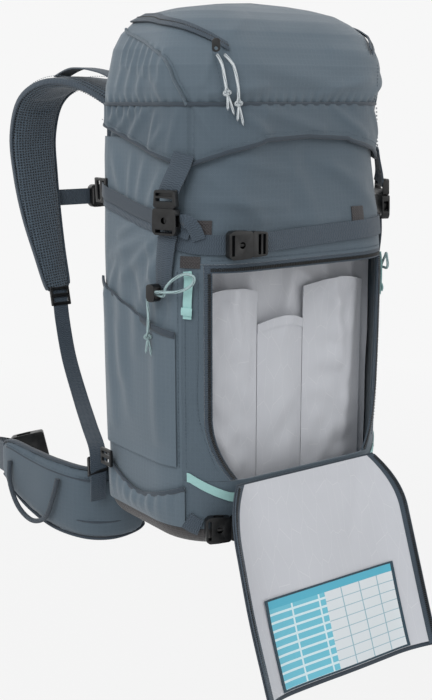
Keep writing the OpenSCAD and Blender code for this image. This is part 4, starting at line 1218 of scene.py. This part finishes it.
def puffUp(piece):
    # remesh, inflate as cloth with a cap on how far each point moves, then take the flat map back
    flat = piece.copy()
    flat.data = piece.data.copy()
    bpy.context.collection.objects.link(flat)
    applyModifier(piece, "REMESH", mode="VOXEL", voxel_size=puffing["voxel"] * mm, use_smooth_shade=True)
    before = readVectors(piece.data.vertices, "co")
    cloth = piece.modifiers.new("Cloth", "CLOTH")
    cloth.settings.use_pressure = True
    cloth.settings.uniform_pressure_force = puffing["pressure"]
    cloth.settings.effector_weights.gravity = 0
    cloth.settings.quality = puffing["quality"]
    cloth.collision_settings.use_self_collision = False
    cloth.point_cache.frame_end = puffing["steps"]
    for step in range(1, puffing["steps"] + 1):
        bpy.context.scene.frame_set(step)
    shown = piece.evaluated_get(bpy.context.evaluated_depsgraph_get())
    after = readVectors(shown.data.vertices, "co")
    piece.modifiers.remove(cloth)
    bpy.context.scene.frame_set(1)
    outward = readVectors(piece.data.vertices, "normal")
    swell = np.clip(((after - before) * outward).sum(1), 0, puffing["cap"] * mm)
    piece.data.vertices.foreach_set("co", (before + outward * swell[:, None]).ravel())
    applyModifier(piece, "SUBSURF", levels=1, render_levels=1)
    if not piece.data.uv_layers:
        piece.data.uv_layers.new(name="UVMap")
    applyModifier(piece, "DATA_TRANSFER", object=flat, use_loop_data=True, data_types_loops={"UV"},
                  loop_mapping="POLYINTERP_NEAREST")
    bpy.data.objects.remove(flat)
    piece.data.polygons.foreach_set("use_smooth", [True] * len(piece.data.polygons))


def finishPad(piece, material, body, node):
    puffUp(piece)
    finishPiece(piece, material, body, [node])


for side, s in bothSides:
    key = side.lower()
    body = "shoulder_" + key
    flip = np.array([-s, 1, 1, 1, 1])
    rows = curveThrough(shoulderRoute * flip, 8)
    piece, wide, lift = ovalSweep("shoulderPad" + side, rows, (s, 0, 0), 28, trim=puffing["shrink"])
    finishPad(piece, "mesh", body, "shoulder_pad_" + key)
    for k, sign in enumerate((-1, 1)):
        line = rows[:, :3] + wide * ((rows[:, 3] / 2 - 1.2) * sign)[:, None]
        bindEdge(f"shoulderBinding{side}{k + 1}", (line, wide * sign), 7, body, 2.6, "webbing")
        inner = rows[:, :3] + wide * ((rows[:, 3] / 2 - 5.5) * sign)[:, None]
        for facing, face in (("Back", -1), ("Front", 1)):
            line = inner + lift * (rows[:, 4] * 0.47 * face)[:, None]
            repeatAlong(f"shoulderStitch{side}{k + 1}{facing}", "stitch", (line[4:-14], lift[4:-14] * face), body)
    strapInAir("shoulderWeb" + side, shoulderWeb * flip[:3], (1, 0, 0), body, ["shoulder_web_" + key])
    placeLock("shoulderLock" + side, (s * 98, 272, 226.4), (1, 0, 0), (0, 0.24, 0.97), body)
    placeLock("lowerWebLock" + side, (s * 146.2, 102.6, 56), (1, 0, 0.1), (-0.3 * s, 0.55, 0.8), body)
    placeLock("lifterLock" + side, (s * 104, 100.5, 486), (1, 0, 0), (0, 0.1, 1), "root")
    placeLock("sideStrapLock" + side, bagPoint(s * 3.3, 374, 3.4), (0.05 * s, 0, 1), (0, -1, 0), "root")
    placeLock("basePocketLock" + side, bagPoint(s * 2.98, 76, 10.5), (0, 1, 0), (0, 0, 1), "root", 0.8)
    strapInAir("loadLifter" + side, lifterRoute * flip[:3], (1, 0, 0), "root", ["load_lifters"])
    low, high = (-84, -32) if s < 0 else (11.6, 84)
    chest = [(x, 303, 348) for x in (low, (low + high) / 2, high)]
    strapInAir("sternumWeb" + side, chest, (0, 0, 1), body, ["sternum_" + key])
copyMoulded("sternumSocket", "sternum_left", "shoulder_left", ((-34.2, 0, 0), (-1, 0, 0)))
copyMoulded("sternumPlug", "sternum_right", "shoulder_right", ((12.6, 0, 0), (1, 0, 0)))
bpy.data.objects.remove(lockMaster)

wingRoute = [(-88, 102, 6, 70, 4), (-98, 102, 5, 84, 12), (-128, 103, 4, 88, 12), (-154, 120, 5, 88, 12),
             (-170, 160, 8, 88, 12), (-178, 205, 15, 80, 12), (-184, 248, 27, 62, 12), (-185, 266, 29, 44, 8)]
beltRoute = [(-185, 268.8, 29), (-183, 288, 28), (-174, 310, 24), (-158, 328, 16), (-140, 338, 8)]
gearRoute = [(-193.2, 238, 34), (-196, 234, 8), (-195, 216, -18), (-190, 190, -30), (-185, 164, -20),
             (-182, 150, 6), (-177.4, 144, 32)]
for side, s in bothSides:
    key = side.lower()
    body = "belt_" + key
    flip = np.array([-s, 1, 1, 1, 1])
    rows = curveThrough(wingRoute * flip, 8)
    piece, wide, lift = ovalSweep("beltWing" + side, rows, (0, 0, 1), 28, trim=puffing["shrink"])
    finishPad(piece, "shell", body, "belt_wing_" + key)
    outer = np.sign(lift[len(lift) // 2][0] * s)
    for k, sign in enumerate((-1, 1)):
        line = rows[:, :3] + wide * ((rows[:, 3] / 2 - 1.0) * sign)[:, None]
        bindEdge(f"wingBinding{side}{k + 1}", (line, wide * sign), 8, body, 3.2)
    rows, wide, lift = (q[6:-5] for q in (rows, wide, lift * outer))
    for k, share in enumerate((-0.24, 0.34)):
        line = rows[:, :3] + wide * (rows[:, 3] * share)[:, None] + lift * (rows[:, 4] * 0.49)[:, None]
        bindEdge(f"wingSeam{side}{k + 1}", (line, lift), 2.4, body, 1.6)
        repeatAlong(f"wingStitch{side}{k + 1}", "stitch", (line + wide * 3.4, lift), body)
    strapInAir("beltWeb" + side, beltRoute * flip[:3], (0, 0, 1), body, ["belt_strap_" + key], width=38)
    copyMoulded("beltBuckle" + side, "belt_strap_" + key, body, ((s * 152, 333, 12), (s * 0.8, -0.6, 0)))
    loop = layTube("gearLoop" + side, curveThrough(gearRoute * flip[:3], 8), 3.0, 14)
    finishPiece(loop, "webbing", "gear_loop_" + key, ["gear_loop_" + key])

haulRoute = [(-30, 103.5, 414), (-30, 103.5, 434), (-24, 103.5, 450), (-11, 103.5, 459), (0, 103.5, 461),
             (11, 103.5, 459), (24, 103.5, 450), (30, 103.5, 434), (30, 103.5, 414)]
rows = np.concatenate([curveThrough(haulRoute, 8), np.tile([14, 3.6], (65, 1))], 1)
finishPiece(ovalSweep("haulLoop", rows, (0, 1, 0), 14)[0], "webbing", "root", ["haul_loop"])
padding = {"wall": 93.0, "channelPitch": 38, "channelDepth": 2.2, "channelWidth": 3.2}


def backCushion(name, centre, width, low, high, thickness, node):
    def place(a, b):
        x, z = mix(1, -1, a), mix(-1, 1, b)
        crown = (1 - np.abs(x) ** 6) ** 0.5 * (1 - np.abs(z) ** 6) ** 0.5
        inward = 1 - 0.06 * (1 - crown)
        x, z = centre + x * width / 2 * inward, mix(low, high, 0.5) + z * (high - low) / 2 * inward
        fromChannel = np.mod(z + 500, padding["channelPitch"]) - padding["channelPitch"] / 2
        channel = -padding["channelDepth"] * np.exp(-(fromChannel / padding["channelWidth"]) ** 2) * crown
        y = padding["wall"] + crown * (thickness - 0.5) + channel * (crown > 0.5)
        return np.stack([x, y, z], -1), np.stack([x, z], -1)

    piece = layGrid(name, 40, 70, place, smooth=80)
    mergeSeam(piece)
    finishPad(piece, "mesh", "root", node)


for side, s in bothSides:
    backCushion("backPadUpper" + side, 60 * s, 66, 242, 392, 9, "back_pads")
    backCushion("backPadLower" + side, 60 * s, 66, 96, 236, 9, "back_pads")
backCushion("lumbarPad", 0, 164, -30, 88, 13, "lumbar_pad")
for node, material in (("yoke", "sheetPlastic"), ("frame_sheet", "sheetPlastic"), ("frame_stays", "metal")):
    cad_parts[node].data.materials.clear()
    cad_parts[node].data.materials.append(finish[material])
print("harness made")

# ---- light and floor ----
lighting = {"world": 0.56, "key": 34.0, "fill": 9.0, "back": 12.0, "middle": (0, -0.1, -0.2), "backdrop": 0.93}
# the floor's own glow grows with the distance, so that it ends in the backdrop's tone
floorShape = {"size": 9, "height": -1.02, "tone": 0.86, "roughness": 0.9, "glow": 0.9,
              "fadeFrom": 0.9, "fadeTo": 3.2}


def addArea(name, place, size, power):
    bpy.ops.object.light_add(type="AREA", location=place)
    lamp = bpy.context.object
    lamp.name = name
    lamp.data.size = size
    lamp.data.energy = power
    lamp.rotation_mode = "QUATERNION"
    lamp.rotation_quaternion = (Vector(lighting["middle"]) - Vector(place)).to_track_quat("-Z", "Y")


addArea("keyLamp", (-2.0, -1.0, 1.6), 1.6, lighting["key"])
addArea("fillLamp", (1.6, -2.0, 0.6), 1.8, lighting["fill"])
addArea("backLamp", (-0.6, 2.2, 1.6), 1.8, lighting["back"])
backdrop = {"Color": (*[lighting["backdrop"]] * 3, 1), "Strength": 1.0}
world = bpy.data.worlds.new("studio")
bpy.context.scene.world = world
world.use_nodes = True
tree = world.node_tree
tree.nodes.clear()
path = addNode(tree, "ShaderNodeLightPath")
seen = mathsIn(tree)("MAXIMUM", path.outputs["Is Camera Ray"], path.outputs["Is Glossy Ray"])
plain = addNode(tree, "ShaderNodeBackground", {"Color": (1, 1, 1, 1), "Strength": lighting["world"]})
white = addNode(tree, "ShaderNodeBackground", backdrop)
both = addNode(tree, "ShaderNodeMixShader", {0: seen, 1: plain.outputs[0], 2: white.outputs[0]})
addNode(tree, "ShaderNodeOutputWorld", {"Surface": both.outputs[0]})
bpy.ops.mesh.primitive_plane_add(size=floorShape["size"], location=(0, 0, floorShape["height"]))
floor = bpy.context.object
floor.name = "floor"
material, tree, shader, coords = startMaterial(
    "paleFloor", floorShape["roughness"], Base_Color=(*[floorShape["tone"]] * 3, 1))
glow = addNode(tree, "ShaderNodeEmission", backdrop)
path = addNode(tree, "ShaderNodeLightPath")
away = addNode(tree, "ShaderNodeVectorMath", {0: coords["Object"]}, operation="LENGTH")
fade = addNode(tree, "ShaderNodeMapRange", {
    "Value": away.outputs["Value"], "From Min": floorShape["fadeFrom"], "From Max": floorShape["fadeTo"],
    "To Min": floorShape["glow"]})
share = mathsIn(tree)("MULTIPLY", path.outputs["Is Camera Ray"], fade.outputs[0])
shown = addNode(tree, "ShaderNodeMixShader", {0: share, 1: shader.outputs[0], 2: glow.outputs[0]})
tree.links.new(shown.outputs[0], tree.nodes["Material Output"].inputs["Surface"])
floor.data.materials.append(material)
print("scene complete")
